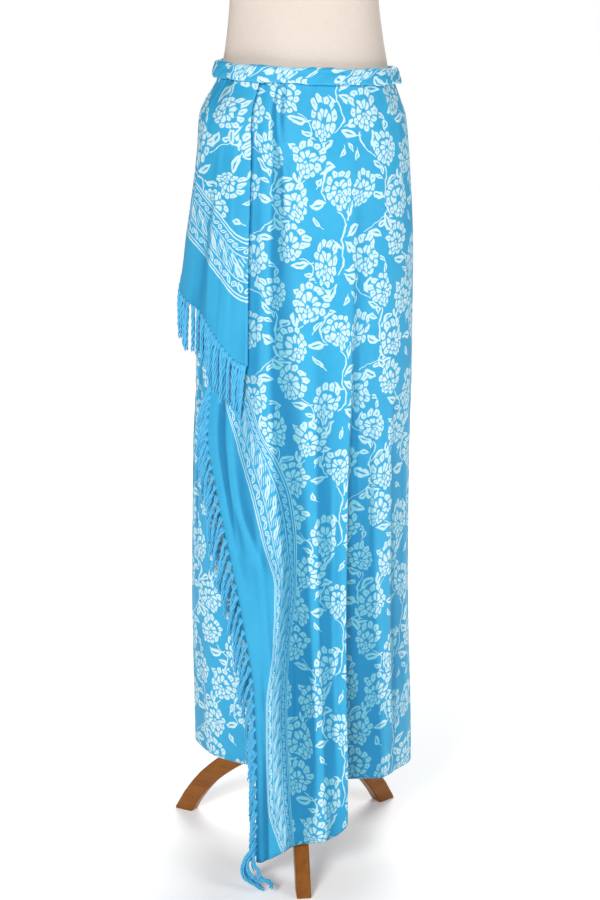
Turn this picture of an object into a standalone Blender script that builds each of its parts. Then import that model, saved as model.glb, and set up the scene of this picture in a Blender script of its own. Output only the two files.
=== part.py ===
"""A batik sarong wrapped on a dress form that stands on a pole and three curved wooden legs.

Metres, +Z up, the front towards -Y. Angles round the body are in degrees from the front and grow
towards +X, the viewer's right. The cloth is one length, wound from its hidden inner end round the
left, the back and the right, then over the front, where its fringed end falls in a cascade.
"""

import math

import bmesh
import bpy
import numpy as np
from mathutils import Vector

# The floor point under the pole, from the centre of the object's box.
AXIS_X = 0.0155
AXIS_Y = 0.0360
MM = 0.001

# Cloth and seams.
WALL = 1.5 * MM
SEAM_ANGLE = 0.2
WRAP_TOP = 1.214
WRAP_START = 36.0
WRAP_END = -260.0
WRAP_OUT = 1.5

# The rolled band at the waist.
BAND_HEIGHT = 0.023
BAND_THICK = 7.5
BAND_MIDDLE = 1.2085
BAND_TILT = 0.005
BAND_GAP = 0.5

# The fringe: locks of yarn on a narrow strip that is parted from the cloth's edge.
STRIP_DEPTH = 3.0 * MM
STRIP_GAP = 0.6 * MM
LOCK_LENGTH = 0.064
LOCK_THICK = 2.8 * MM
LOCK_RINGS = 4
UPPER_LOCKS = 22
UPPER_HALF_LOCK = 0.0102
LOWER_LOCKS = 56
LOWER_HALF_LOCK = 0.0018
LOWER_FROM = 0.385
LOWER_TO = 0.978
# The lower locks stand off the steep edge at an angle that falls from the first to the last.
LOCK_SLANT_HIGH = 24.0
LOCK_SLANT_LOW = 19.0
LOCK_LIFT = 0.11
CORNER_LOCKS = 5
CORNER_SLANT_STEP = 1.6
FLOOR_GAP = 0.0045

# The stand.
POLE_RADIUS = 0.0145
STAND_X = -0.0140
COLLAR_RADIUS = 0.046
COLLAR_THICK = 0.012
HUB_LOW = 0.082
HUB_HIGH = 0.205
HUB_RADIUS = 0.034
LEG_THICK = 0.022
LEG_DEPTH = 0.029
# distance from the pole, height of the leg's middle line
LEG_LINE = (
    (0.034, 0.138),
    (0.060, 0.133),
    (0.090, 0.119),
    (0.122, 0.095),
    (0.150, 0.069),
    (0.171, 0.043),
    (0.188, 0.017),
    (0.212, -0.030),
)
LEG_TURNS = {"stand_leg_front": 5.5, "stand_leg_right": 128.5, "stand_leg_left": 243.0}
FORM_BASE = 0.985
TOUCH_GAP = 0.0003

# Colour, roughness and sheen of each stuff.
BATIK = ((0.16, 0.52, 0.83), 0.62, 0.3)
PLAIN_BLUE = ((0.05, 0.42, 0.78), 0.6, 0.3)
LINEN = ((0.82, 0.75, 0.68), 0.85, 0.1)
DARK_WOOD = ((0.30, 0.115, 0.03), 0.42, 0.0)

# The body under the cloth: the inner face of the first layer.
# height, centre x, half width, half depth
BODY = (
    (0.000, 0.0050, 0.1660, 0.1250),
    (0.150, 0.0050, 0.1660, 0.1250),
    (0.422, 0.0010, 0.1650, 0.1220),
    (0.638, 0.0025, 0.1625, 0.1215),
    (0.772, 0.0060, 0.1600, 0.1210),
    (0.950, 0.0070, 0.1580, 0.1200),
    (1.034, 0.0075, 0.1535, 0.1165),
    (1.100, 0.0070, 0.1490, 0.1120),
    (1.146, 0.0055, 0.1455, 0.1090),
    (1.166, 0.0050, 0.1390, 0.1050),
    (1.182, 0.0060, 0.1320, 0.1010),
    (1.200, 0.0070, 0.1242, 0.0965),
    (1.225, 0.0070, 0.1180, 0.0922),
)

# The dress form, from its flat base to the top of its neck.
# height, centre x, centre y, half width, half depth
FORM = (
    (0.985, 0.0070, 0.000, 0.1380, 0.1010),
    (0.989, 0.0070, 0.000, 0.1475, 0.1100),
    (1.000, 0.0070, 0.000, 0.1515, 0.1148),
    (1.034, 0.0075, 0.000, 0.1512, 0.1146),
    (1.100, 0.0070, 0.000, 0.1462, 0.1096),
    (1.146, 0.0055, 0.000, 0.1434, 0.1070),
    (1.166, 0.0050, 0.000, 0.1383, 0.1043),
    (1.182, 0.0060, 0.000, 0.1313, 0.1003),
    (1.200, 0.0070, 0.000, 0.1235, 0.0958),
    (1.225, 0.0070, 0.000, 0.1173, 0.0915),
    (1.255, 0.0068, 0.000, 0.1122, 0.0870),
    (1.308, 0.0060, 0.000, 0.1060, 0.0815),
    (1.350, 0.0060, 0.000, 0.1040, 0.0800),
    (1.430, 0.0060, -0.004, 0.1140, 0.0890),
    (1.500, 0.0060, -0.010, 0.1280, 0.1030),
    (1.560, 0.0060, -0.012, 0.1360, 0.1090),
    (1.620, 0.0060, -0.004, 0.1410, 0.0980),
    (1.680, 0.0060, 0.004, 0.1570, 0.0800),
    (1.712, 0.0060, 0.008, 0.1620, 0.0660),
    (1.738, 0.0060, 0.010, 0.1400, 0.0580),
    (1.758, 0.0060, 0.010, 0.0960, 0.0520),
    (1.776, 0.0060, 0.010, 0.0640, 0.0500),
    (1.800, 0.0060, 0.010, 0.0550, 0.0490),
    (1.836, 0.0060, 0.008, 0.0550, 0.0500),
)
FORM_SIDES = 48

# Soft folds of the first layer, which grow from the hip to the hem.
# angle at the hip, angle at the hem, half width in degrees, out at the hem in mm
WRAP_FOLDS = (
    (-58.0, -54.0, 9.0, 3.0),
    (-84.0, -88.0, 12.0, 4.5),
    (-118.0, -116.0, 10.0, 10.0),
    (-134.0, -136.0, 8.0, -5.0),
    (-152.0, -155.0, 11.0, 9.0),
    (-172.0, -174.0, 8.0, -6.0),
    (-190.0, -192.0, 11.0, 11.0),
    (-212.0, -210.0, 8.0, -5.0),
    (-228.0, -230.0, 10.0, 7.0),
)
WRAP_HEM = ((-260.0, 0.142), (-200.0, 0.158), (-120.0, 0.168), (-60.0, 0.171), (36.0, 0.172))

# The front layer, from the fringed edge at the left to the seam behind the right side.
# Each row is a fold. Columns are its angle in degrees at seven heights.
FRONT_HEIGHTS = (0.10, 0.30, 0.45, 0.60, 0.70, 0.80, 1.20)
FRONT_ANGLES = {
    "fringed_edge": (-20.5, -22.5, -32.0, -46.0, -55.0, -55.0, -46.0),
    "plain_ridge": (-17.5, -20.0, -29.0, -41.5, -49.0, -50.0, -42.0),
    "plain_dip": (-15.5, -17.5, -24.0, -37.5, -44.0, -45.0, -39.0),
    "plain_swell": (-13.5, -15.0, -17.5, -33.5, -39.0, -40.0, -36.0),
    "border_start": (-9.0, -11.5, -11.5, -28.5, -30.0, -28.5, -27.0),
    "border_end": (-5.0, -7.0, -8.5, -14.0, -18.0, -20.0, -19.5),
    "deep_valley": (-1.5, -2.0, -4.5, -7.0, -9.5, -12.0, -16.0),
    "middle_ridge": (7.5, 7.0, 6.5, 5.0, 3.5, 1.0, -7.0),
    "middle_dip": (12.0, 12.0, 12.0, 11.0, 10.5, 10.0, 8.0),
    "fold_edge": (18.5, 20.0, 21.5, 22.0, 22.5, 22.5, 24.0),
    "fold_return": (21.5, 22.5, 24.0, 25.0, 26.0, 27.0, 32.0),
    "right_rise": (33.0, 33.0, 33.5, 34.0, 34.5, 35.0, 39.0),
    "right_ridge": (45.0, 44.0, 43.5, 43.0, 43.0, 43.0, 48.0),
    "right_soft": (60.0, 60.0, 60.0, 60.0, 60.0, 60.0, 62.0),
    "right_side": (82.0, 82.0, 82.0, 82.0, 82.0, 82.0, 82.0),
    "seam": (99.8, 99.8, 99.8, 99.8, 99.8, 99.8, 99.8),
}
# How far the outer face stands out from the body, in mm, at the same heights, then the hem's height in m.
FRONT_OUTS = {
    "fringed_edge": (50.0, 33.0, 17.0, 12.5, 11.0, 8.0, 4.5, 0.036),
    "plain_ridge": (56.0, 36.0, 20.0, 14.5, 12.5, 8.2, 4.5, 0.040),
    "plain_dip": (56.0, 36.0, 19.0, 11.0, 9.0, 6.4, 4.5, 0.045),
    "plain_swell": (60.0, 38.0, 18.0, 14.0, 12.0, 5.3, 4.5, 0.050),
    "border_start": (60.0, 36.0, 17.0, 10.0, 8.0, 5.0, 4.5, 0.060),
    "border_end": (56.0, 28.0, 15.0, 12.0, 11.0, 9.5, 6.6, 0.069),
    "deep_valley": (55.0, 18.0, 6.0, 4.6, 4.6, 4.5, 4.5, 0.074),
    "middle_ridge": (62.0, 36.0, 21.0, 15.0, 12.5, 10.0, 6.0, 0.080),
    "middle_dip": (57.0, 32.0, 17.0, 11.0, 9.0, 7.5, 4.8, 0.084),
    "fold_edge": (56.0, 36.0, 22.0, 16.0, 13.0, 10.5, 4.8, 0.102),
    "fold_return": (7.0, 6.0, 5.0, 5.0, 5.0, 5.2, 4.6, 0.154),
    "right_rise": (8.0, 7.0, 6.0, 6.0, 6.0, 6.0, 4.5, 0.150),
    "right_ridge": (11.0, 10.0, 8.5, 7.0, 6.0, 6.0, 4.5, 0.145),
    "right_soft": (5.0, 4.0, 3.0, 3.0, 3.5, 4.0, 4.0, 0.144),
    "right_side": (7.0, 4.5, 2.5, 2.0, 2.0, 2.0, 3.0, 0.139),
    "seam": (1.5, 1.5, 1.5, 1.5, 1.5, 1.5, 1.5, 0.142),
}
FRONT_STEPS = (2, 2, 2, 2, 3, 3, 4, 4, 4, 5, 4, 4, 4, 4, 4)
FRONT_ROWS = 17
WRAP_COLUMNS = 54
WRAP_ROWS = 11
# Close rows under the band, where the waist spreads to the hip, as heights below the top.
CLOSE_ROWS = (0.0, 0.011, 0.024, 0.038, 0.054, 0.073, 0.098)

# The upper fall of the cascade, from its free long edge at the left to the fold at its right.
# share across, angle at the waist, angle at the foot, foot height, out in mm at waist, half way and foot
FALL = (
    (0.00, -71.0, -118.0, 0.970, 3.8, 6.0, 13.0),
    (0.14, -65.0, -102.0, 0.934, 3.8, 6.5, 18.0),
    (0.32, -57.0, -84.0, 0.893, 3.9, 8.0, 27.0),
    (0.44, -52.0, -72.0, 0.882, 4.5, 9.5, 23.0),
    (0.54, -47.0, -61.0, 0.870, 8.5, 10.5, 16.0),
    (0.66, -42.0, -52.0, 0.851, 9.8, 11.0, 19.0),
    (0.80, -37.0, -43.0, 0.829, 10.0, 12.0, 21.0),
    (0.92, -32.5, -34.5, 0.805, 10.0, 11.5, 17.0),
    (1.00, -30.0, -30.0, 0.800, 10.0, 10.8, 13.5),
)
FALL_COLUMNS = 22
FALL_ROWS = 7
# At its fold the fall turns under itself: a half round of this many degrees, then a flat return.
TURN_ROUND = 1.0
TURN_STEPS = 5
TURN_RETURNS = (-2.5, -5.0)
FALL_UNDER_OUT = 5.9


def smooth(knots, values, at):
    """A smooth curve through the knots that never swings past them, held level beyond the ends.

    values may have more axes after the knots' own, one for each axis of at.
    """
    knots = np.asarray(knots, float)
    values = np.asarray(values, float)
    at = np.asarray(at, float)
    spread = (-1,) + (1,) * (values.ndim - 1)
    slopes = np.diff(values, axis=0) / np.diff(knots).reshape(spread)
    before, after = slopes[:-1], slopes[1:]
    turning = before * after <= 0
    inner = np.where(turning, 0.0, 2.0 * before * after / np.where(turning, 1.0, before + after))
    tangents = np.concatenate([slopes[:1], inner, slopes[-1:]])
    at = np.clip(at, knots[0], knots[-1])
    low = np.clip(np.searchsorted(knots, at, side="right") - 1, 0, len(knots) - 2)
    step = knots[low + 1] - knots[low]
    t = (at - knots[low]) / step
    if values.ndim == 1:
        start, end, leave, arrive = values[low], values[low + 1], tangents[low], tangents[low + 1]
    else:
        start, end, leave, arrive = (
            np.take_along_axis(grid, place[None], axis=0)[0]
            for grid, place in ((values, low), (values, low + 1), (tangents, low), (tangents, low + 1))
        )
    bend = (1 - t) ** 2 * t * leave - (1 - t) * t**2 * arrive
    return start + (end - start) * t * t * (3 - 2 * t) + bend * step


def from_table(rows, column, height):
    """One column of a table whose first column is the knot, read at a height or share."""
    knots = [row[0] for row in rows]
    return smooth(knots, [row[column] for row in rows], height)


def on_body(angle, height, out_mm):
    """Points that stand out_mm from the body's ellipse, along the ellipse's outward direction."""
    turn = np.radians(angle)
    centre = from_table(BODY, 1, height)
    half_width = from_table(BODY, 2, height)
    half_depth = from_table(BODY, 3, height)
    outward_x = np.sin(turn) / half_width
    outward_y = -np.cos(turn) / half_depth
    length = np.hypot(outward_x, outward_y)
    x = centre + half_width * np.sin(turn) + out_mm * MM * outward_x / length
    y = -half_depth * np.cos(turn) + out_mm * MM * outward_y / length
    return np.stack([x, y, height + 0.0 * x], axis=-1)


def row_shares(drop, count):
    """Shares of a sheet's drop at which its rows lie: close under the band, then even."""
    close = np.array(CLOSE_ROWS) / drop
    return np.concatenate([close, np.linspace(2.0 * close[-1] - close[-2], 1.0, count)])


def material(name, finish):
    """A plain Principled material: colour, roughness and sheen."""
    colour, roughness, sheen = finish
    made = bpy.data.materials.new(name)
    made.use_nodes = True
    shader = made.node_tree.nodes["Principled BSDF"]
    shader.inputs["Base Color"].default_value = (*colour, 1.0)
    shader.inputs["Roughness"].default_value = roughness
    shader.inputs["Metallic"].default_value = 0.0
    shader.inputs["Sheen Weight"].default_value = sheen
    made.diffuse_color = (*colour, 1.0)
    return made


def place(name, mesh, finish):
    """Makes the named object with its own material, in the part's collection and under the empty."""
    thing = bpy.data.objects.new(name, mesh)
    parts.objects.link(thing)
    thing.parent = axis
    thing.data.materials.append(material(name, finish))
    mesh.shade_smooth()
    mesh.set_sharp_from_angle(angle=math.radians(40.0))
    return thing


def grid_mesh(name, points):
    """A sheet of quads through a grid of points: rows run down, columns run towards +X."""
    rows, columns = points.shape[:2]
    index = np.arange(rows * columns).reshape(rows, columns)
    faces = np.stack([index[:-1, :-1], index[1:, :-1], index[1:, 1:], index[:-1, 1:]], axis=-1)
    mesh = bpy.data.meshes.new(name)
    mesh.from_pydata(points.reshape(-1, 3).tolist(), [], faces.reshape(-1, 4).tolist())
    return mesh


def cloth(name, points, finish):
    """A sheet whose points are its outer face, made a wall by Solidify on the inner side."""
    thing = place(name, grid_mesh(name, points), finish)
    wall = thing.modifiers.new("wall", "SOLIDIFY")
    wall.thickness = WALL
    wall.offset = -1.0
    return thing


def rings_object(name, rings, finish, closed_tube=False):
    """A closed solid through rings of points: capped at both ends, or joined end to end."""
    count, around = rings.shape[:2]
    mesh = bpy.data.meshes.new(name)
    work = bmesh.new()
    corners = [[work.verts.new(point) for point in ring] for ring in rings]
    pairs = list(zip(corners[:-1], corners[1:]))
    if closed_tube:
        pairs.append((corners[-1], corners[0]))
    for low, high in pairs:
        for i in range(around):
            j = (i + 1) % around
            work.faces.new((low[i], low[j], high[j], high[i]))
    if not closed_tube:
        work.faces.new(corners[0])
        work.faces.new(corners[-1])
    bmesh.ops.recalc_face_normals(work, faces=work.faces)
    work.to_mesh(mesh)
    work.free()
    return place(name, mesh, finish)


def wrap_out(angle, height):
    """How far the first layer stands out, in mm: its wall and the soft folds that grow downwards."""
    grown = np.clip((1.0 - height) / 0.85, 0.0, 1.0) ** 1.3
    out = WRAP_OUT + 0.0 * angle
    for hip, hem, width, deep in WRAP_FOLDS:
        at = hip + (hem - hip) * grown
        out = out + deep * grown * np.exp(-(((angle - at) / width) ** 2))
    return out


def under_wrap():
    """The first layer: from its hidden end at the front, round the left and the back to the seam."""
    angle = np.linspace(WRAP_END, WRAP_START, WRAP_COLUMNS)[None, :]
    share = row_shares(1.05, WRAP_ROWS)[:, None]
    hem = from_table(WRAP_HEM, 1, angle)
    height = WRAP_TOP + (hem - WRAP_TOP) * share
    angle = angle + 0.0 * height
    return cloth("under_wrap", on_body(angle, height, wrap_out(angle, height)), BATIK)


def front_points(across, share):
    """The front layer's outer face. across counts folds from the fringed edge, share runs down."""
    folds = list(FRONT_ANGLES)
    order = np.arange(len(folds))
    hems = [FRONT_OUTS[fold][-1] for fold in folds]
    hem = smooth(order, hems, across)
    height = WRAP_TOP + (hem - WRAP_TOP) * share
    across = across + 0.0 * height
    angles = np.stack([smooth(FRONT_HEIGHTS, FRONT_ANGLES[fold], height) for fold in folds])
    outs = np.stack([smooth(FRONT_HEIGHTS, FRONT_OUTS[fold][:-1], height) for fold in folds])
    return on_body(smooth(order, angles, across), height, smooth(order, outs, across))


def front_wrap():
    """The front layer, from the seam behind the right side to the fringed edge."""
    across = [0.0]
    for i, steps in enumerate(FRONT_STEPS):
        across += [i + (k + 1) / steps for k in range(steps)]
    share = row_shares(1.1, FRONT_ROWS)[:, None]
    return cloth("front_wrap", front_points(np.array(across)[None, :], share), BATIK)


def fall_points(across, share):
    """The upper fall's outer face. across runs from its free edge to its fold, share runs down."""
    waist_angle = from_table(FALL, 1, across)
    foot_angle = from_table(FALL, 2, across)
    foot = from_table(FALL, 3, across)
    waist_out = from_table(FALL, 4, across)
    half_out = from_table(FALL, 5, across)
    foot_out = from_table(FALL, 6, across)
    angle = waist_angle + (foot_angle - waist_angle) * share**0.8
    height = WRAP_TOP - 0.004 + (foot - WRAP_TOP + 0.004) * share
    halfway = 4.0 * share * (1.0 - share)
    rise = share**2.2
    out = waist_out * (1.0 - rise) * (1.0 - halfway) + half_out * halfway * (1.0 - rise)
    return angle, height, out + foot_out * rise


def cascade_fall():
    """The upper fall of the cascade, with its fold at the right turned under."""
    across = np.linspace(0.0, 1.0, FALL_COLUMNS)[None, :]
    share = row_shares(0.33, FALL_ROWS)[:, None]
    angle, height, out = fall_points(across, share)
    turned = [on_body(angle, height, out)]
    rounds = [math.pi * (i + 1) / TURN_STEPS for i in range(TURN_STEPS)]
    path = [(TURN_ROUND * math.sin(turn), 0.5 + 0.5 * math.cos(turn)) for turn in rounds]
    path += [(added, 0.0) for added in TURN_RETURNS]
    for added, left in path:
        under = FALL_UNDER_OUT + (out[:, -1:] - FALL_UNDER_OUT) * left
        turned.append(on_body(angle[:, -1:] + added, height[:, -1:], under))
    return cloth("cascade_fall", np.concatenate(turned, axis=1), BATIK)


def stack_out(angle):
    """The outermost face of the layers inside the band at the waist, in mm."""
    knots = (-260.0, -100.0, -82.0, -58.0, -50.0, -42.0, -27.0, -17.0, 60.0, 90.0, 100.0)
    outs = (1.5, 1.5, 4.2, 4.6, 9.2, 10.3, 10.6, 6.6, 4.8, 3.4, 1.5)
    return smooth(knots, outs, angle)


def waist_roll():
    """The rolled top edge: a band all round the waist, outside the ends of the layers."""
    angles = np.linspace(-260.0, 100.0, 66, endpoint=False)[:, None]
    around = np.linspace(0.0, 2.0 * np.pi, 10, endpoint=False)[None, :]
    inner = stack_out(angles) + BAND_GAP
    bulge = 2.5 * np.exp(-(((angles - 84.0) / 7.0) ** 2))
    thick = BAND_THICK + bulge
    reach = np.sign(np.cos(around)) * np.abs(np.cos(around)) ** 0.6
    lift = np.sign(np.sin(around)) * np.abs(np.sin(around)) ** 0.75
    middle = BAND_MIDDLE - BAND_TILT * np.sin(np.radians(angles))
    height = middle + 0.5 * BAND_HEIGHT * lift
    out = inner + 0.5 * thick * (1.0 + reach)
    ring = on_body(angles + 0.0 * height, height, out)
    return rings_object("waist_roll", ring, BATIK, closed_tube=True)


def fringe(name, edge, side, outer, hang, finish):
    """A comb of locks in one solid: a narrow strip along the edge, with a lock drawn from each root.

    edge holds pairs of points along the strip's near side, one pair for each root. side is the
    direction from the cloth to the locks, outer the direction away from the body, and hang the
    middle line of each lock.
    """
    work = bmesh.new()
    rows = []
    for pair, away, outward in zip(edge, side, outer):
        along = (pair[1] - pair[0]).normalized()
        front = along.cross(away).normalized() * (0.5 * LOCK_THICK)
        if front.dot(outward) < 0:
            front.negate()
        for point in pair:
            far = point + away * STRIP_DEPTH
            rows.append([point + front, far + front, far - front, point - front])
    corners = [[work.verts.new(point) for point in row] for row in rows]
    roots = []
    for k, (low, high) in enumerate(zip(corners[:-1], corners[1:])):
        for i in range(4):
            j = (i + 1) % 4
            face = work.faces.new((low[i], low[j], high[j], high[i]))
            if i == 1 and k % 2 == 0:
                roots.append(face)
    work.faces.new(corners[0])
    work.faces.new(corners[-1])
    bmesh.ops.recalc_face_normals(work, faces=work.faces)
    for face, line in zip(roots, hang):
        previous = face.calc_center_median()
        for i, point in enumerate(line):
            face = bmesh.ops.extrude_discrete_faces(work, faces=[face])["faces"][0]
            middle = face.calc_center_median()
            heading = (point - previous).normalized()
            turn = face.normal.rotation_difference(heading)
            narrow = 0.9 if i < len(line) - 1 else 0.65
            for corner in face.verts:
                corner.co = point + turn @ ((corner.co - middle) * narrow)
            face.normal_update()
            previous = point
    mesh = bpy.data.meshes.new(name)
    work.to_mesh(mesh)
    work.free()
    return place(name, mesh, finish)


def hanging_line(root, away, outward, length, sway):
    """The middle line of a hanging lock: out of its root, over, and down with a slight sway."""
    line = []
    for i in range(1, LOCK_RINGS + 1):
        share = i / LOCK_RINGS
        eased = 1.0 - (1.0 - share) ** 3
        point = root + away * (0.004 * eased) + outward * (0.003 * eased)
        line.append(point + Vector((sway * math.sin(2.4 * share), 0.0, -length * share)))
    return line


def slanted_line(root, level, outward, slant, length, lift):
    """The middle line of a lock that stands off a steep edge and turns down towards its tip."""
    line = []
    point = root
    down = Vector((0.0, 0.0, -1.0))
    for i in range(LOCK_RINGS):
        turn = math.radians(slant * (1.35 - 0.7 * (i + 0.5) / LOCK_RINGS))
        step = down * math.cos(turn) + level * math.sin(turn) + outward * lift
        point = point + step * (length / LOCK_RINGS)
        line.append(point.copy())
    return line


def upper_fringe():
    """The fringe under the upper fall, from near its free corner to its fold."""
    edges, sides, outers, lines = [], [], [], []
    for k in range(UPPER_LOCKS):
        across = 0.02 + 0.955 * k / (UPPER_LOCKS - 1)
        ends = []
        for shift in (-UPPER_HALF_LOCK, UPPER_HALF_LOCK):
            angle, height, out = fall_points(np.array(across + shift), np.array(1.0))
            ends.append(Vector(on_body(angle, height, out - 0.5 * WALL / MM)))
        along = (ends[1] - ends[0]).normalized()
        outward = Vector((ends[0].x, ends[0].y, 0.0)).normalized()
        away = along.cross(outward)
        if away.z > 0:
            away.negate()
        pair = [point + away * STRIP_GAP for point in ends]
        root = 0.5 * (pair[0] + pair[1]) + away * STRIP_DEPTH
        sway = 0.0012 * math.sin(2.1 * k)
        length = LOCK_LENGTH * (1.0 + 0.10 * math.sin(1.7 * k + 0.6))
        edges.append(pair)
        sides.append(away)
        outers.append(outward)
        lines.append(hanging_line(root, away, outward, length, sway))
    return fringe("fringe_upper", edges, sides, outers, lines, PLAIN_BLUE)


def lower_fringe():
    """The fringe down the front layer's edge, from under the fall to just above the corner."""
    rows = row_shares(1.1, FRONT_ROWS)
    borders = front_points(np.array([[0.0, 0.5]]), rows[:, None])
    edges, sides, outers, lines = [], [], [], []
    for k in range(LOWER_LOCKS):
        share = LOWER_FROM + (LOWER_TO - LOWER_FROM) * k / (LOWER_LOCKS - 1)
        ends = []
        for shift in (-LOWER_HALF_LOCK, LOWER_HALF_LOCK):
            at = share + shift
            both = [[np.interp(at, rows, borders[:, i, j]) for j in range(3)] for i in (0, 1)]
            ends.append((Vector(both[0]), Vector(both[1])))
        down = (ends[1][0] - ends[0][0]).normalized()
        away = (ends[0][0] - ends[0][1]).normalized()
        away = (away - down * away.dot(down)).normalized()
        behind = down.cross(away).normalized()
        if behind.y < 0:
            behind.negate()
        pair = [point[0] + away * STRIP_GAP + behind * (0.5 * WALL) for point in ends]
        root = 0.5 * (pair[0] + pair[1]) + away * STRIP_DEPTH
        from_corner = k - (LOWER_LOCKS - 1 - CORNER_LOCKS)
        slant = LOCK_SLANT_HIGH + (LOCK_SLANT_LOW - LOCK_SLANT_HIGH) * k / (LOWER_LOCKS - 1)
        slant -= CORNER_SLANT_STEP * max(0, from_corner)
        length = LOCK_LENGTH * (1.0 + 0.09 * math.sin(1.9 * k))
        if from_corner > 0:
            length = 1.2 * LOCK_LENGTH
        length = min(length, (root.z - FLOOR_GAP) / math.cos(math.radians(slant)))
        edges.append(pair)
        sides.append(away)
        outers.append(-behind)
        level = Vector((away.x, away.y, 0.0)).normalized()
        lines.append(slanted_line(root, level, -behind, slant, length, LOCK_LIFT + 0.04 * (k % 2)))
    return fringe("fringe_lower", edges, sides, outers, lines, PLAIN_BLUE)


def dress_form():
    """The padded form, a closed loft of flattened rings from the hip to the neck."""
    table_heights = [row[0] for row in FORM]
    between = np.linspace(1.065, 1.695, 12)
    heights = np.sort(np.concatenate([table_heights, between]))[:, None]
    turn = np.linspace(0.0, 2.0 * np.pi, FORM_SIDES, endpoint=False)[None, :]
    x = from_table(FORM, 1, heights) + from_table(FORM, 3, heights) * np.sin(turn)
    y = from_table(FORM, 2, heights) - from_table(FORM, 4, heights) * np.cos(turn)
    rings = np.stack([x, y, heights + 0.0 * x], axis=-1)
    return rings_object("form_torso", rings, LINEN)


def turned(name, profile, centre_x, finish, steps=28):
    """A turned piece: a profile of radius and height, carried round the vertical by Screw."""
    mesh = bpy.data.meshes.new(name)
    points = [(radius, 0.0, height) for radius, height in profile]
    links = [(i, i + 1) for i in range(len(points) - 1)]
    mesh.from_pydata(points, links, [])
    thing = place(name, mesh, finish)
    thing.location = (centre_x, 0.0, 0.0)
    screw = thing.modifiers.new("turn", "SCREW")
    screw.steps = steps
    screw.render_steps = steps
    screw.use_merge_vertices = True
    screw.merge_threshold = 0.0001
    return thing


def stand():
    """The collar under the form, the pole, and the hub that the legs meet."""
    low = FORM_BASE - TOUCH_GAP - COLLAR_THICK
    collar = (
        (0.0, low + COLLAR_THICK),
        (COLLAR_RADIUS, low + COLLAR_THICK),
        (COLLAR_RADIUS, low + 0.004),
        (COLLAR_RADIUS - 0.004, low),
        (0.0, low),
    )
    turned("pole_collar", collar, STAND_X, DARK_WOOD)
    top = low - TOUCH_GAP
    foot = HUB_HIGH + TOUCH_GAP
    pole = ((0.0, top), (POLE_RADIUS, top), (POLE_RADIUS, foot), (0.0, foot))
    turned("stand_pole", pole, STAND_X, DARK_WOOD, 24)
    hub = (
        (0.0, HUB_HIGH),
        (0.019, HUB_HIGH),
        (0.024, HUB_HIGH - 0.006),
        (0.024, HUB_HIGH - 0.016),
        (HUB_RADIUS - 0.002, HUB_HIGH - 0.028),
        (HUB_RADIUS, HUB_HIGH - 0.034),
        (HUB_RADIUS, HUB_LOW + 0.016),
        (0.026, HUB_LOW + 0.006),
        (0.012, HUB_LOW),
        (0.0, HUB_LOW),
    )
    turned("stand_hub", hub, STAND_X, DARK_WOOD)


def leg_outline():
    """The leg's side view, as distance from the pole and height: an arch cut flat at the floor."""
    reaches = [row[0] for row in LEG_LINE]
    heights = [row[1] for row in LEG_LINE]
    reach = np.linspace(reaches[0], reaches[-1], 13)
    height = smooth(reaches, heights, reach)
    slope = np.gradient(height, reach)
    length = np.hypot(1.0, slope)
    outline = []
    for side in (0.5, -0.5):
        bend = np.stack([reach - side * LEG_DEPTH * slope / length, height + side * LEG_DEPTH / length])
        bend[0, 0] = HUB_RADIUS + TOUCH_GAP
        last = int(np.argmax(bend[1] < 0.003))
        share = bend[1, last - 1] / (bend[1, last - 1] - bend[1, last])
        sole = bend[0, last - 1] + share * (bend[0, last] - bend[0, last - 1])
        edge = [(bend[0, i], bend[1, i]) for i in range(last)] + [(sole, 0.0)]
        outline += edge if side > 0 else edge[::-1]
    return outline


def legs():
    """Three curved legs, each a flat outline given its thickness, set round the hub."""
    outline = leg_outline()
    for name, angle in LEG_TURNS.items():
        curve = bpy.data.curves.new(name, "CURVE")
        curve.dimensions = "2D"
        curve.fill_mode = "BOTH"
        curve.extrude = 0.5 * LEG_THICK
        spline = curve.splines.new("POLY")
        spline.points.add(len(outline) - 1)
        for point, (reach, height) in zip(spline.points, outline):
            point.co = (reach, height, 0.0, 1.0)
        spline.use_cyclic_u = True
        guide = bpy.data.objects.new(name + "_outline", curve)
        bpy.context.scene.collection.objects.link(guide)
        bpy.context.view_layer.update()
        shape = guide.evaluated_get(bpy.context.evaluated_depsgraph_get())
        mesh = bpy.data.meshes.new_from_object(shape)
        bpy.data.objects.remove(guide)
        work = bmesh.new()
        work.from_mesh(mesh)
        bmesh.ops.remove_doubles(work, verts=work.verts, dist=0.00001)
        bmesh.ops.recalc_face_normals(work, faces=work.faces)
        work.to_mesh(mesh)
        work.free()
        mesh.materials.clear()
        leg = place(name, mesh, DARK_WOOD)
        leg.location = (STAND_X, 0.0, 0.0)
        leg.rotation_euler = (math.radians(90.0), 0.0, math.radians(angle - 90.0))
        round_edges = leg.modifiers.new("round_edges", "BEVEL")
        round_edges.width = 0.002
        round_edges.segments = 1
        round_edges.limit_method = "ANGLE"
        round_edges.angle_limit = math.radians(50.0)


def neck_cap():
    """The turned cap that closes the neck."""
    low = 1.836 + TOUCH_GAP
    profile = (
        (0.0, low + 0.030),
        (0.010, low + 0.029),
        (0.016, low + 0.022),
        (0.012, low + 0.014),
        (0.044, low + 0.010),
        (0.050, low + 0.006),
        (0.050, low),
        (0.0, low),
    )
    cap = turned("neck_cap", profile, 0.006, DARK_WOOD)
    cap.location.y = 0.008


for old in list(bpy.data.objects):
    bpy.data.objects.remove(old)
parts = bpy.data.collections.new("batik_sarong")
bpy.context.scene.collection.children.link(parts)
axis = bpy.data.objects.new("pole_axis", None)
axis.location = (AXIS_X, AXIS_Y, 0.0)
parts.objects.link(axis)


dress_form()
neck_cap()
stand()
legs()
under_wrap()
front_wrap()
cascade_fall()
waist_roll()
upper_fringe()
lower_fringe()
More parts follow.
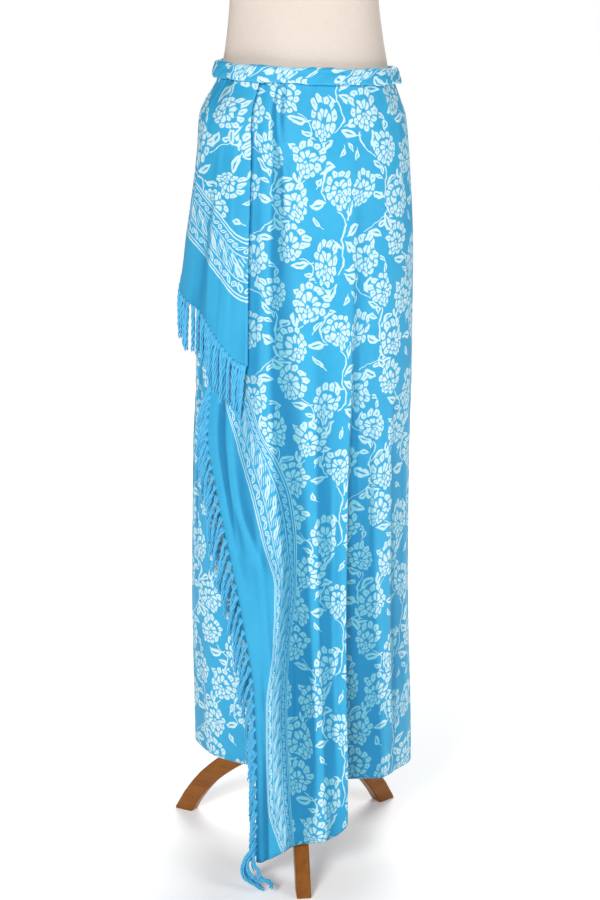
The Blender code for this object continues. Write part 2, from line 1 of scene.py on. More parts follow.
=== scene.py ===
# %% [markdown]
# # A batik sarong on a dress form
# The real piece is one length of thin rayon, about one and three quarter metres long and 1.12 metres
# wide. It is dyed with white flowers on blue, has a border near its end, and ends in a fringe of
# twisted locks. It goes once and a half round the hips and is rolled over at the waist, and its outer
# end falls at the front in a cascade. The solids of this frame hold its main forms. Here the same forms
# are worked out again on a finer grid, with the small creases, the dyed pattern and the twisted fringe.

import math

import bpy
import numpy as np
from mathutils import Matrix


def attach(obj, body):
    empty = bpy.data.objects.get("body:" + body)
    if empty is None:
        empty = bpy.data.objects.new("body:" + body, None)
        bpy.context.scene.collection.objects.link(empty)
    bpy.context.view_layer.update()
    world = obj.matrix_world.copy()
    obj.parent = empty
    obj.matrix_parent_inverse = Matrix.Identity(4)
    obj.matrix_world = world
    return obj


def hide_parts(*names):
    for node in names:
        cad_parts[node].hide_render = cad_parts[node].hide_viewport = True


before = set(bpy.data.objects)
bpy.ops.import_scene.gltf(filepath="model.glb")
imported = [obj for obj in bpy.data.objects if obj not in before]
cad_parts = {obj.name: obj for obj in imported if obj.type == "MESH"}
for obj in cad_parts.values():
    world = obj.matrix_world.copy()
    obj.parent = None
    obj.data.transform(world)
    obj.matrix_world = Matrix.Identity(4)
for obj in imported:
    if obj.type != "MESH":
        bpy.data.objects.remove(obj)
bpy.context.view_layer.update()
MM = 0.001
# where the middle of the form stands, in m
AXIS_X, AXIS_Y = 0.0155, 0.0360
AXIS = np.array([AXIS_X, AXIS_Y, 0.0])

# %% [markdown]
# ## The camera
# The photograph was taken from the height of the waist, tipped down by 15.5 degrees, and close enough
# for the legs of the stand to spread. A camera placed first makes every later choice easy to compare.

# %% Camera
CAMERA_HEIGHT = 1.364
CAMERA_AWAY = 2.6
TIPPED_DOWN = 15.5
LENS = 70.84


def placed(name, data):
    """An object of the data, linked to the scene."""
    thing = bpy.data.objects.new(name, data)
    bpy.context.scene.collection.objects.link(thing)
    return thing


camera_data = bpy.data.cameras.new("camera")
camera_data.sensor_fit = "VERTICAL"
camera_data.sensor_height = 36.0
camera_data.lens = LENS
camera = placed("camera", camera_data)
camera.location = (AXIS_X, AXIS_Y - CAMERA_AWAY, CAMERA_HEIGHT)
camera.rotation_euler = (math.radians(90.0 - TIPPED_DOWN), 0.0, 0.0)
bpy.context.scene.camera = camera
print("camera at", [round(v, 3) for v in camera.location])

# %% [markdown]
# ## The body under the cloth
# A dressmaker starts from the body. A short table gives its ellipse at a few heights, and a smooth
# curve joins them. Every layer is then drawn as an angle round that body, a height, and a distance
# out from it. A point on a layer is the ellipse point pushed straight out by that distance.

# %% Body table and smooth curves
# height, centre x, half width, half depth
BODY = (
    (0, 0.005, 0.166, 0.125), (0.15, 0.005, 0.166, 0.125), (0.422, 0.001, 0.165, 0.122),
    (0.638, 0.0025, 0.1625, 0.1215), (0.772, 0.006, 0.16, 0.121), (0.95, 0.007, 0.158, 0.12),
    (1.034, 0.0075, 0.1535, 0.1165), (1.1, 0.007, 0.149, 0.112), (1.146, 0.0055, 0.1455, 0.109),
    (1.166, 0.005, 0.139, 0.105), (1.182, 0.006, 0.132, 0.101), (1.2, 0.007, 0.1242, 0.0965),
    (1.225, 0.007, 0.118, 0.0922),
)


def smooth(knots, values, at):
    """A curve through the knots that never swings past them.

    Between two knots it is a cubic whose slope at each knot is the harmonic mean of the slopes on
    both sides, or zero where they differ in sign. values may have more axes, one for each axis of at.
    """
    knots = np.asarray(knots, float)
    values = np.asarray(values, float)
    at = np.asarray(at, float)
    slopes = np.diff(values, axis=0) / np.diff(knots).reshape((-1,) + (1,) * (values.ndim - 1))
    before, after = slopes[:-1], slopes[1:]
    turning = before * after <= 0
    inner = np.where(turning, 0.0, 2.0 * before * after / np.where(turning, 1.0, before + after))
    tangents = np.concatenate([slopes[:1], inner, slopes[-1:]])
    at = np.clip(at, knots[0], knots[-1])
    low = np.clip(np.searchsorted(knots, at, side="right") - 1, 0, len(knots) - 2)
    step = knots[low + 1] - knots[low]
    t = (at - knots[low]) / step

    def pick(table, index):
        return table[index] if table.ndim == 1 else np.take_along_axis(table, index[None], axis=0)[0]

    start, end = pick(values, low), pick(values, low + 1)
    bend = (1 - t) ** 2 * t * pick(tangents, low) - (1 - t) * t**2 * pick(tangents, low + 1)
    return start + (end - start) * t * t * (3 - 2 * t) + bend * step


def from_table(rows, column, at):
    """One column of a table whose first column is the knot, read on the smooth curve."""
    return smooth([row[0] for row in rows], [row[column] for row in rows], at)


def limited(values):
    """Values kept between 0 and 1."""
    return np.clip(values, 0.0, 1.0)


def eased(share):
    """A share from 0 to 1 that starts and ends gently: its square times three less twice itself."""
    return share * share * (3.0 - 2.0 * share)


def bell(values, middle, width):
    """A bell-shaped rise: exp of minus the squared distance from the middle over the width."""
    return np.exp(-(((values - middle) / width) ** 2))


def unit(vectors):
    """Vectors divided by their own lengths."""
    return vectors / np.linalg.norm(vectors, axis=-1, keepdims=True)


def pair(one, other):
    """Two arrays, stretched to the same shape, as an array of pairs."""
    return np.stack(np.broadcast_arrays(one, other), axis=-1)


def on_body(angle, height, out_mm):
    """Points out_mm from the body's ellipse: the ellipse point plus out_mm along the outward direction."""
    turn = np.radians(angle)
    half_width, half_depth = from_table(BODY, 2, height), from_table(BODY, 3, height)
    outward = np.stack([np.sin(turn) / half_width, -np.cos(turn) / half_depth])
    outward = outward / np.hypot(*outward)
    x = from_table(BODY, 1, height) + half_width * np.sin(turn) + out_mm * MM * outward[0]
    y = -half_depth * np.cos(turn) + out_mm * MM * outward[1]
    return np.stack([x, y, height + 0.0 * x], axis=-1) + AXIS


print("hip is", round(2000 * float(from_table(BODY, 2, 0.95))), "mm wide")

# %% [markdown]
# ## From a grid of points to cloth
# Each layer is a sheet of quads through a grid of points. Solidify gives it the thickness of the cloth
# on its inner side, so the outer face stays where the tables put it. Each sheet carries three maps, all
# in metres: one for the flowers, one for the distance from the fringed end, one for the distance from
# the hem. With the pattern in metres of cloth, it bends with each fold as dye does. A fourth map tells
# how much of the light the folds beside a point hide, and the material darkens the cloth by it: painted
# shade in the folds.

# %% Sheet helper
CLOTH_THICK = 0.8 * MM


def new_piece(name, points, faces, maps=None):
    """A piece from points and faces, smooth all over, at the origin and riding on the body.

    Each map is an array of two numbers for each point, written as a UV layer on the mesh's corners.
    """
    mesh = bpy.data.meshes.new(name)
    mesh.from_pydata(points.reshape(-1, 3).tolist(), [], faces)
    mesh.update()
    corners = np.zeros(len(mesh.loops), np.int32)
    mesh.loops.foreach_get("vertex_index", corners)
    for label, values in (maps or {}).items():
        flat = values.reshape(-1, 2)[corners]
        mesh.uv_layers.new(name=label).data.foreach_set("uv", flat.astype(np.float32).ravel())
    mesh.polygons.foreach_set("use_smooth", np.ones(len(mesh.polygons), bool))
    piece = placed(name, mesh)
    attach(piece, "root")
    return piece


def sheet(name, points, maps):
    """A cloth sheet through a grid of points, rows down and columns towards +X, with its thickness.

    Each quad joins a point to the ones below it and to its right.
    """
    index = np.arange(points.shape[0] * points.shape[1]).reshape(points.shape[:2])
    quads = np.stack([index[:-1, :-1], index[1:, :-1], index[1:, 1:], index[:-1, 1:]], axis=-1)
    piece = new_piece(name, points, quads.reshape(-1, 4).tolist(), maps)
    wall = piece.modifiers.new("thickness", "SOLIDIFY")
    wall.thickness = CLOTH_THICK
    wall.offset = -1.0
    return piece


def run_along(points, axis):
    """Distance run along the rows or columns of a grid of points: the sum of the steps between them."""
    steps = np.linalg.norm(np.diff(points, axis=axis), axis=-1)
    start = np.zeros_like(np.take(steps, [0], axis=axis))
    return np.concatenate([start, np.cumsum(steps, axis=axis)], axis=axis)


def area_of(points):
    """Area of a grid of points: half the cross product of the diagonals of each quad, summed."""
    across = points[1:, 1:] - points[:-1, :-1]
    down = points[1:, :-1] - points[:-1, 1:]
    return float(0.5 * np.linalg.norm(np.cross(across, down), axis=-1).sum())


def creases(table, angle, height):
    """Small folds: each is a bell-shaped rise across a leaning line, faded in and out along it.

    The rise is depth times exp of minus the squared distance from the line over its width, times a
    fade that goes from 0 to 1 over the first and the last quarter of the line.
    """
    out = 0.0 * angle * height
    for top_angle, foot_angle, top, foot, width, depth in table:
        along = limited((top - height) / (top - foot))
        line = top_angle + (foot_angle - top_angle) * along
        fade = limited(4.0 * np.minimum(along, 1.0 - along))
        out = out + depth * eased(fade) * bell(angle, line, width)
    return out


# the shortest length that a rise is taken over, how many columns away folds still hide the light,
# and the rise at which the painted shade starts and the further rise that makes it full
SHORTEST = 7.0 * MM
SHADE_COLUMNS = 30
SHADE_STARTS, SHADE_RANGE = 0.06, 0.36


# its result is painted into the cloth's colour as shade in the folds
def hidden_sky(points, out_mm):
    """How much the folds on both sides of each point hide of the light, from 0 to 1.

    On each side it is the steepest rise towards the cloth in the columns near by: the difference in
    distance out over the length between the two points, but at least over the shortest length. The
    two sides are summed, scaled and eased.
    """
    hidden = 0.0
    for way in (1, -1):
        steepest = np.zeros(points.shape[:2])
        for step in range(1, SHADE_COLUMNS + 1):
            near, far = (slice(None, -step), slice(step, None))[::way]
            rise = (out_mm[:, far] - out_mm[:, near]) * MM
            length = np.linalg.norm(points[:, far] - points[:, near], axis=-1)
            steepest[:, near] = np.maximum(steepest[:, near], rise / np.maximum(length, SHORTEST))
        hidden = hidden + limited(steepest)
    return eased(limited((hidden - SHADE_STARTS) / SHADE_RANGE))


print("cloth is", CLOTH_THICK / MM, "mm thick")

# %% [markdown]
# ## The first layer
# The first turn starts unseen under the front, goes round the left side and the back, and ends under
# the seam of the second turn. It hangs straight from the hip. Soft folds grow towards the hem, more at
# the back, where the cloth isn't pulled. Each fold has its angle at the hip, its angle at the hem, its
# width and how far it stands out, and the finer creases come from a second table.

# %% First layer
WRAP_TOP = 1.214
WRAP_SPAN = (-260, 36)
WRAP_OUT = 1.5
# angle at the hip, angle at the hem, half width in degrees, out at the hem in mm
WRAP_FOLDS = (
    (-58, -54, 9, 3), (-84, -88, 12, 4.5), (-118, -116, 10, 10), (-134, -136, 8, -5), (-152, -155, 11, 9),
    (-172, -174, 8, -6), (-190, -192, 11, 11), (-212, -210, 8, -5), (-228, -230, 10, 7),
)
WRAP_HEM = ((-260, 0.142), (-200, 0.158), (-120, 0.168), (-60, 0.171), (36, 0.172))
# angle at the top, angle at the foot, top, foot, half width in degrees, out in mm
WRAP_CREASES = (
    (-64, -70, 0.88, 0.3, 2.6, 1.4), (-76, -73, 0.95, 0.16, 2.2, 1.6), (-92, -101, 0.8, 0.12, 3.5, 2.2),
    (-104, -96, 1.16, 0.7, 3, 1.2), (-98, -124, 1.19, 0.92, 2.5, 1), (-126, -125, 0.9, 0.12, 3, 2),
    (-140, -138, 1.22, 0.8, 3, 1.3), (-160, -165, 1.1, 0.6, 3.5, 1.5), (-168, -176, 1.22, 0.95, 2.2, 1),
    (-181, -183, 0.85, 0.12, 3.2, 2), (-196, -186, 1.22, 0.86, 2.6, 1.2), (-202, -203, 0.75, 0.12, 3, 1.8),
    (-221, -219, 1.18, 0.7, 3, 1.4), (-238, -243, 0.95, 0.3, 3, 1.4),
)
WRAP_GRID = (150, 190)
# height in m where the folds start, the length over which they grow, and the power of their growth
GROWTH_TOP, GROWTH_LENGTH, GROWTH_POWER = 1.0, 0.85, 1.3
# a distance in m from the fringed end at which the border is long past
NO_BORDER = 1.0


def wrap_out(angle, height):
    """How far the first layer stands out in mm: its wall, the folds times their growth, the creases.

    A fold's growth is the share of the way down from the growth's top, raised to its power.
    """
    grown = limited((GROWTH_TOP - height) / GROWTH_LENGTH) ** GROWTH_POWER
    out = WRAP_OUT + creases(WRAP_CREASES, angle, height)
    for hip, hem, width, deep in WRAP_FOLDS:
        out = out + deep * grown * bell(angle, hip + (hem - hip) * grown, width)
    return out


share = np.linspace(0.0, 1.0, WRAP_GRID[0])[:, None]
wrap_angle = np.linspace(*WRAP_SPAN, WRAP_GRID[1])[None, :] + 0.0 * share
wrap_hem = from_table(WRAP_HEM, 1, wrap_angle)
wrap_height = WRAP_TOP + (wrap_hem - WRAP_TOP) * share
wrap_off = wrap_out(wrap_angle, wrap_height)
wrap_points = on_body(wrap_angle, wrap_height, wrap_off)
wrap_run = run_along(wrap_points, 1)
wrap_maps = {
    "field": pair(wrap_run - wrap_run[:, -1:], wrap_height),
    "end": pair(NO_BORDER + wrap_run, wrap_height),
    "hem": pair(wrap_height - wrap_hem, wrap_run),
    # deep: painted shade where the folds hide the light
    "deep": pair(hidden_sky(wrap_points, wrap_off), wrap_run),
}
first_layer = sheet("first_layer", wrap_points, wrap_maps)
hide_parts("under_wrap")

# %% [markdown]
# ## The front layer
# The second turn crosses the front and carries the large folds, so it is drawn fold by fold. Each named
# fold has its angle at seven heights, and how far it stands out at the same heights. Between two folds
# the surface follows a smooth curve. The step from the fold edge to its return is the deep pleat of the
# photograph, with its rounded front and its dark valley.

# %% Front layer tables
FRONT_HEIGHTS = (0.10, 0.30, 0.45, 0.60, 0.70, 0.80, 1.20)
# of each fold the angles and the distances out in mm at these heights, then the hem's height in m
FRONT_FOLDS = {
    "fringed_edge": ((-20.5, -22.5, -32, -46, -55, -55, -46), (50, 33, 17, 12.5, 11, 8, 4.5), 0.036),
    "plain_ridge": ((-17.5, -20, -29, -41.5, -49, -50, -42), (56, 36, 20, 14.5, 12.5, 8.2, 4.5), 0.04),
    "plain_dip": ((-15.5, -17.5, -24, -37.5, -44, -45, -39), (56, 36, 19, 11, 9, 6.4, 4.5), 0.045),
    "plain_swell": ((-13.5, -15, -17.5, -33.5, -39, -40, -36), (60, 38, 18, 14, 12, 5.3, 4.5), 0.05),
    "border_start": ((-9, -11.5, -11.5, -28.5, -30, -28.5, -27), (60, 36, 17, 10, 8, 5, 4.5), 0.06),
    "border_end": ((-5, -7, -8.5, -14, -18, -20, -19.5), (56, 28, 15, 12, 11, 9.5, 6.6), 0.069),
    "deep_valley": ((-1.5, -2, -4.5, -7, -9.5, -12, -16), (55, 18, 6, 4.6, 4.6, 4.5, 4.5), 0.074),
    "middle_ridge": ((7.5, 7, 6.5, 5, 3.5, 1, -7), (62, 36, 21, 15, 12.5, 10, 6), 0.08),
    "middle_dip": ((12, 12, 12, 11, 10.5, 10, 8), (57, 32, 17, 11, 9, 7.5, 4.8), 0.084),
    "fold_edge": ((18.5, 20, 21.5, 22, 22.5, 22.5, 24), (56, 36, 22, 16, 13, 10.5, 4.8), 0.102),
    "fold_return": ((21.5, 22.5, 24, 25, 26, 27, 32), (7, 6, 5, 5, 5, 5.2, 4.6), 0.154),
    "right_rise": ((33, 33, 33.5, 34, 34.5, 35, 39), (8, 7, 6, 6, 6, 6, 4.5), 0.15),
    "right_ridge": ((45, 44, 43.5, 43, 43, 43, 48), (11, 10, 8.5, 7, 6, 6, 4.5), 0.145),
    "right_soft": ((60, 60, 60, 60, 60, 60, 62), (5, 4, 3, 3, 3.5, 4, 4), 0.144),
    "right_side": ((82, 82, 82, 82, 82, 82, 82), (7, 4.5, 2.5, 2, 2, 2, 3), 0.139),
    "seam": ((99.8, 99.8, 99.8, 99.8, 99.8, 99.8, 99.8), (1.5, 1.5, 1.5, 1.5, 1.5, 1.5, 1.5), 0.142),
}
# angle at the top, angle at the foot, top, foot, half width in degrees, out in mm
FRONT_CREASES = (
    (-16, -9, 1.215, 1.02, 1.6, 1.8), (-12, -12.5, 1.23, 0.9, 1.3, -1.2), (3, 1, 1.225, 1.03, 2, 0.8),
    (17, 15, 1.225, 1.08, 1.8, 0.7), (46, 62, 1.23, 1.13, 3.5, 1.6), (40, 52, 1.22, 1.1, 2.5, -0.7),
    (66, 58, 1.2, 0.98, 3, 0.9), (30, 31, 0.9, 0.14, 1.5, 0.9), (38.5, 38, 0.78, 0.14, 1.4, -1),
    (50, 52, 0.86, 0.14, 2.4, 1.6), (56, 57, 0.62, 0.14, 1.8, -0.8), (70, 72, 0.9, 0.14, 3.2, 1.6),
    (16, 15, 0.72, 0.09, 1, 0.9), (9.5, 9.5, 0.6, 0.09, 0.9, -0.8), (1.5, 2.5, 0.62, 0.08, 1, -1),
    (-3.5, -4.5, 0.66, 0.1, 1, 1.2), (-24, -13.5, 0.62, 0.3, 1.4, 1), (-40, -30, 0.66, 0.5, 1.3, 1.3),
    (-17.5, -13, 0.3, 0.05, 0.9, 1.2), (-11.5, -8, 0.28, 0.06, 0.8, -0.9),
)
FRONT_GRID = (170, 12)
# the border's two lines on the front layer: height, angle of its start, angle of its end
BORDER_ON_FRONT = (
    (0.05, -8, -3), (0.152, -15.4, -5.5), (0.281, -16, -6.8), (0.375, -13, -5.5), (0.467, -12.5, -2),
    (0.533, -18.7, -2), (0.6, -24.9, -4.5), (0.66, -32, -12), (0.7, -36.5, -20.5), (0.76, -47, -29.5),
    (0.82, -60, -42),
)
START_OF_BORDER = 0.055
END_OF_BORDER = 0.130
# angle and half width in degrees of the painted shade beside the cascade, and the height above which it
# falls
PAINTED_SHADE_BY_FALL = (-28.6, 0.8, 0.80)
# height of the front layer as the hem's map takes it
FRONT_LENGTH = 1.1

# %% Front layer
folds = list(FRONT_FOLDS)
order = np.arange(len(folds))
fold_angles, fold_outs, fold_hems = zip(*FRONT_FOLDS.values())


def front_points(across, share):
    """The front layer's outer face. across counts the folds from the fringed edge, share runs down.

    The height runs from the waist to the fold's hem, and the angle and the distance out are the
    smooth curves through the folds' own values at that height, plus the creases.
    """
    hem = smooth(order, fold_hems, across)
    height = WRAP_TOP + (hem - WRAP_TOP) * share
    across = across + 0.0 * height
    angles = np.stack([smooth(FRONT_HEIGHTS, row, height) for row in fold_angles])
    outs = np.stack([smooth(FRONT_HEIGHTS, row, height) for row in fold_outs])
    angle = smooth(order, angles, across)
    return angle, height, smooth(order, outs, across) + creases(FRONT_CREASES, angle, height)


across = np.linspace(0.0, order[-1], FRONT_GRID[1] * order[-1] + 1)[None, :]
share = np.linspace(0.0, 1.0, FRONT_GRID[0])[:, None]
front_angle, front_height, front_out = front_points(across, share)
front_face = on_body(front_angle, front_height, front_out)
front_run = run_along(front_face, 1)
fold_column = folds.index("fold_edge") * FRONT_GRID[1]
border_column = folds.index("border_start") * FRONT_GRID[1]
border_start = from_table(BORDER_ON_FRONT, 1, front_height)
border_end = from_table(BORDER_ON_FRONT, 2, front_height)
edge_angle = front_angle[:, :1]
in_plain = (front_angle - edge_angle) / np.maximum(border_start - edge_angle, 0.001)
in_border = (front_angle - border_start) / (border_end - border_start)
end_run = START_OF_BORDER * in_plain
past_start = START_OF_BORDER + (END_OF_BORDER - START_OF_BORDER) * in_border
end_run = np.where(in_border > 0.0, past_start, end_run)
# painted shade in the groove where the cascade's fold edge lies on the front layer
painted_edge_shade = bell(front_angle, *PAINTED_SHADE_BY_FALL[:2]) * limited((front_height - PAINTED_SHADE_BY_FALL[2]) * 20.0)
front_maps = {
    "field": pair(front_run - front_run[:, fold_column][:, None], front_height),
    "end": pair(end_run, run_along(front_face, 0)[:, border_column][:, None]),
    "hem": pair((1.0 - share) * FRONT_LENGTH, front_run),
    # deep: painted shade where the folds hide the light and beside the cascade
    "deep": pair(np.maximum(hidden_sky(front_face, front_out), painted_edge_shade), front_run),
}
front_layer = sheet("front_layer", front_face, front_maps)
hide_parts("front_wrap")
print("front layer:", round(area_of(front_face), 3), "m2")

# %% [markdown]
# ## The cascade's upper fall
# Where the fringed end passes the waist it drops over itself, so its corner hangs low at the side and
# its edge runs steeply up to a fold. A table across the fall gives where each line starts at the waist
# and ends at the fringe. At the fold the cloth turns under in a half round, then lies flat.

# %% Upper fall
# share across, angle at the waist, angle at the foot, foot height, out in mm at waist, half way and foot
FALL = (
    (0, -71, -118, 0.97, 3.8, 6, 13), (0.14, -65, -102, 0.934, 3.8, 6.5, 18),
    (0.32, -57, -84, 0.893, 3.9, 8, 27), (0.44, -52, -72, 0.882, 4.5, 9.5, 23),
    (0.54, -47, -61, 0.87, 8.5, 10.5, 16), (0.66, -42, -52, 0.851, 9.8, 11, 19),
    (0.8, -37, -43, 0.829, 10, 12, 21), (0.92, -32.5, -34.5, 0.805, 10, 11.5, 17),
    (1, -30, -30, 0.8, 10, 10.8, 13.5),
)
# angle at the top, angle at the foot, top, foot, half width in degrees, out in mm
FALL_CREASES = (
    (-60, -78, 1.19, 0.96, 2.6, 1.5), (-47, -55, 1.16, 0.84, 2.2, 1.2), (-52, -63, 1.05, 0.86, 1.8, -1.2),
    (-38, -40, 1.2, 0.8, 1.8, 1), (-43, -47, 1, 0.82, 1.5, -0.9), (-72, -96, 1.12, 0.9, 3, 1.2),
    (-58, -70, 1.225, 1.12, 2, 1),
)
FALL_GRID = (110, 90)
# the half round at the fold in degrees, where the cloth lies under it, and how far out in mm
TURN_ROUND = 1.0
TURN_RETURNS = (-2.5, -5)
FALL_UNDER_OUT = 5.9
# slope of the border in degrees, shift of the flowers in m, and strength of the painted shade in the folds
FALL_SLOPE = 48.0
FALL_SHIFT = (0.03, 0.06)
FALL_PAINTED_SHADE_SHARE = 0.8
# powers of the share by which the lines lean and the foot's distance out grows, and the height in m
# by which the fall starts below the top of the layers
LEAN_POWER, FOOT_POWER, FALL_LOWER = 0.8, 2.2, 0.004
# distances from the foot in m: the plain strip starts, the border starts, it ends, the map ends
FALL_BORDER = (0, 0.062, 0.123, 0.523)


def fall_points(across, share):
    """The fall's angle, height and distance out. across runs from its free edge to its fold.

    Each line leans from its angle at the waist to its angle at the foot as a power of the share.
    The distance out is a blend of the three values of the table, with the foot's growing last.
    """
    waist_angle, foot_angle, foot, waist_out, half_out, foot_out = (
        from_table(FALL, column, across) for column in range(1, 7)
    )
    angle = waist_angle + (foot_angle - waist_angle) * share**LEAN_POWER
    height = WRAP_TOP - FALL_LOWER + (foot - WRAP_TOP + FALL_LOWER) * share
    halfway = 4.0 * share * (1.0 - share)
    rise = share**FOOT_POWER
    out = waist_out * (1.0 - rise) * (1.0 - halfway) + half_out * halfway * (1.0 - rise)
    return angle, height, out + foot_out * rise


across = np.linspace(0.0, 1.0, FALL_GRID[1])[None, :]
share = np.linspace(0.0, 1.0, FALL_GRID[0])[:, None]
angle, height, out = fall_points(across, share)
fall_out = out + creases(FALL_CREASES, angle, height) * limited((1.0 - across) * 8.0)
turns = np.linspace(0.0, np.pi, 9)[None, 1:]
turn_angle = np.concatenate([TURN_ROUND * np.sin(turns), np.array(TURN_RETURNS)[None, :]], axis=1)
turn_left = np.concatenate([0.5 + 0.5 * np.cos(turns), np.zeros((1, 2))], axis=1)
under = FALL_UNDER_OUT + (fall_out[:, -1:] - FALL_UNDER_OUT) * turn_left
turned_under = on_body(angle[:, -1:] + turn_angle, height[:, -1:] + 0.0 * turn_left, under)
fall_face = np.concatenate([on_body(angle, height, fall_out), turned_under], axis=1)
fall_run = run_along(fall_face, 1)
fall_flat = fall_run - fall_run[:, FALL_GRID[1] - 1 : FALL_GRID[1]]
foot_line = fall_flat[-1], fall_face[-1, :, 2]
lean = math.radians(FALL_SLOPE)
drop = (fall_face[..., 2] - np.interp(fall_flat, *foot_line)) * math.cos(lean)
along_foot = fall_flat * math.cos(lean) - fall_face[..., 2] * math.sin(lean)
past_it = END_OF_BORDER + FALL_BORDER[3] - FALL_BORDER[2]
to_border = np.interp(drop, FALL_BORDER, [0.0, START_OF_BORDER, END_OF_BORDER, past_it])
# painted shade in the fall's folds, none on the part turned under
fall_painted_shade = 0.0 * fall_run
shown = slice(0, FALL_GRID[1])
fall_painted_shade[:, shown] = FALL_PAINTED_SHADE_SHARE * hidden_sky(fall_face[:, shown], fall_out)
fall_maps = {
    "field": pair(drop + FALL_SHIFT[0], along_foot + FALL_SHIFT[1]),
    "end": pair(to_border, along_foot),
    "hem": pair(fall_run, fall_face[..., 2]),
    "deep": pair(fall_painted_shade, fall_run),
}
cascade = sheet("cascade", fall_face, fall_maps)
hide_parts("cascade_fall")
print("upper fall:", round(area_of(fall_face), 3), "m2")

# %% [markdown]
# ## The rolled waist
# The sarong stays up because its top edge is rolled over outwards, which makes a soft band of doubled
# cloth. It is a ring: a squared oval carried round the waist. Shallow creases run slantwise along it,
# because rolled cloth always twists a little, and at the viewer's right the roll ends in a tucked knob.

# %% Rolled band
# height of the roll in m, its thickness in mm, its middle and its tilt in m, its gap to the cloth in mm
BAND_HEIGHT, BAND_THICK = 0.023, 7.5
BAND_MIDDLE, BAND_TILT = 1.2085, 0.005
BAND_GAP = 0.5
BAND_GRID = (320, 40)
# powers that square the oval, and shift of the flowers and distance from the hem in m
SQUARING = (0.6, 0.75)
BAND_SHIFT = (0.02, 0.11)
BAND_HEM = 0.1
# angle, distance out in mm of the outermost layer inside the band
STACK = (
    (-260, 1.5), (-100, 1.5), (-82, 4.2), (-58, 4.6), (-50, 9.2), (-42, 10.3), (-27, 10.6), (-17, 6.6),
    (60, 4.8), (90, 3.4), (100, 1.5),
)
# the knob's thickness in mm, its angle and its half width in degrees
KNOB = (2.5, 84, 6)
# depth in mm of the line where the cloth doubles, its place and its swing in the lift, its half width
GROOVE = (0.9, 0.28, 0.22, 0.13)
# angle where a slanting crease crosses the band, its lean in degrees, half width, depth in mm
BAND_CREASES = (
    (-62, 9, 2.2, 1), (-50, -7, 1.6, 0.7), (-31, 10, 2, 1.1), (-14, 14, 1.8, 0.9), (-2, -8, 1.5, 0.6),
    (12, 12, 2.2, 0.9), (29, -9, 1.8, 0.8), (44, 8, 1.6, 1), (60, 12, 2, 1.1), (96, 7, 1.8, 0.8),
    (118, 11, 2.5, 1), (150, -8, 2.2, 0.8), (176, 10, 2.4, 1), (205, 9, 2.2, 0.9), (236, -10, 2.4, 0.9),
    (262, 8, 2, 0.8),
)


def band_points(angles, around):
    """The band's surface: a squared oval about a middle line that tilts a little round the waist.

    Its reach and lift are cosine and sine raised to powers under one, which squares the oval. Creases
    are bell-shaped dips along lines that lean with the lift.
    """
    knob, knob_angle, knob_width = KNOB
    bulge = knob * bell(angles, knob_angle, knob_width)
    reach = np.sign(np.cos(around)) * np.abs(np.cos(around)) ** SQUARING[0]
    lift = np.sign(np.sin(around)) * np.abs(np.sin(around)) ** SQUARING[1]
    dips = 0.0 * angles * around
    for at, slant, width, depth in BAND_CREASES:
        apart = (angles - at - slant * lift + 180.0) % 360.0 - 180.0
        dips = dips + depth * bell(apart, 0.0, width)
    depth, place, swing, width = GROOVE
    groove = depth * bell(lift, place + swing * np.sin(np.radians(3.0 * angles)), width)
    middle = BAND_MIDDLE - BAND_TILT * np.sin(np.radians(angles))
    wave = 0.0006 * np.sin(np.radians(9.0 * angles)) + 0.0004 * np.sin(np.radians(23.0 * angles + 40.0))
    height = middle + (0.5 * BAND_HEIGHT + wave) * lift
    outer = 0.5 * (BAND_THICK + bulge) * (1.0 + reach)
    dips = dips * limited(0.3 + reach) + groove * limited(reach)
    out = from_table(STACK, 1, angles) + BAND_GAP + outer - dips * limited(outer / 4.0)
    return on_body(angles + 0.0 * height, height, out)


def closed_ring(points):
    """The quads of a surface closed both ways: each point joins the next round and the next along."""
    index = np.arange(points.shape[0] * points.shape[1]).reshape(points.shape[:2])
    along, across_it = np.roll(index, -1, axis=0), np.roll(index, -1, axis=1)
    return np.stack([index, along, np.roll(along, -1, axis=1), across_it], axis=-1).reshape(-1, 4)


def outward(points, faces):
    """The faces, each turned round if the volume they enclose comes out negative."""
    one, two, three, four = points.reshape(-1, 3)[faces].transpose(1, 0, 2)
    volume = np.einsum("ij,ij->", one, np.cross(two, three) + np.cross(three, four))
    return faces if volume > 0 else faces[:, ::-1]


band_angle = np.linspace(-260.0, 100.0, BAND_GRID[0], endpoint=False)[:, None]
band_around = np.linspace(-np.pi, np.pi, BAND_GRID[1], endpoint=False)[None, :]
band_face = band_points(band_angle, band_around)
band_run = run_along(band_face, 0)
band_maps = {
    "field": pair(band_run + BAND_SHIFT[0], run_along(band_face, 1) + BAND_SHIFT[1]),
    "end": pair(NO_BORDER, band_run),
    "hem": pair(BAND_HEM, band_run),
    "deep": pair(0.0, band_run),
}
band_quads = outward(band_face, closed_ring(band_face))
rolled_band = new_piece("rolled_band", band_face, band_quads.tolist(), band_maps)
# the quads that close the ring end at its full length, in place of the zero where it starts
band_uv = rolled_band.data.uv_layers["field"].data
field_uv = np.zeros((band_quads.size, 2), np.float32)
band_uv.foreach_get("uv", field_uv.reshape(-1))
last_row = np.arange(band_quads.size) >= 4 * BAND_GRID[1] * (BAND_GRID[0] - 1)
closing = last_row & (band_quads.ravel() < BAND_GRID[1])
field_uv[closing, 0] += band_run[-1].max() + np.linalg.norm(band_face[0, 0] - band_face[-1, 0])
band_uv.foreach_set("uv", field_uv.reshape(-1))
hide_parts("waist_roll")
print("rolled band:", len(band_quads), "quads")

# %% [markdown]
# ## The padded form
# The form is a firm padded body, flat at its base, with a narrow waist, shoulders and a neck. Each ring
# is an ellipse, and smooth curves through a table of heights give its middle and its two half axes. The
# rings stand closer at the shoulders, where the outline turns fast.

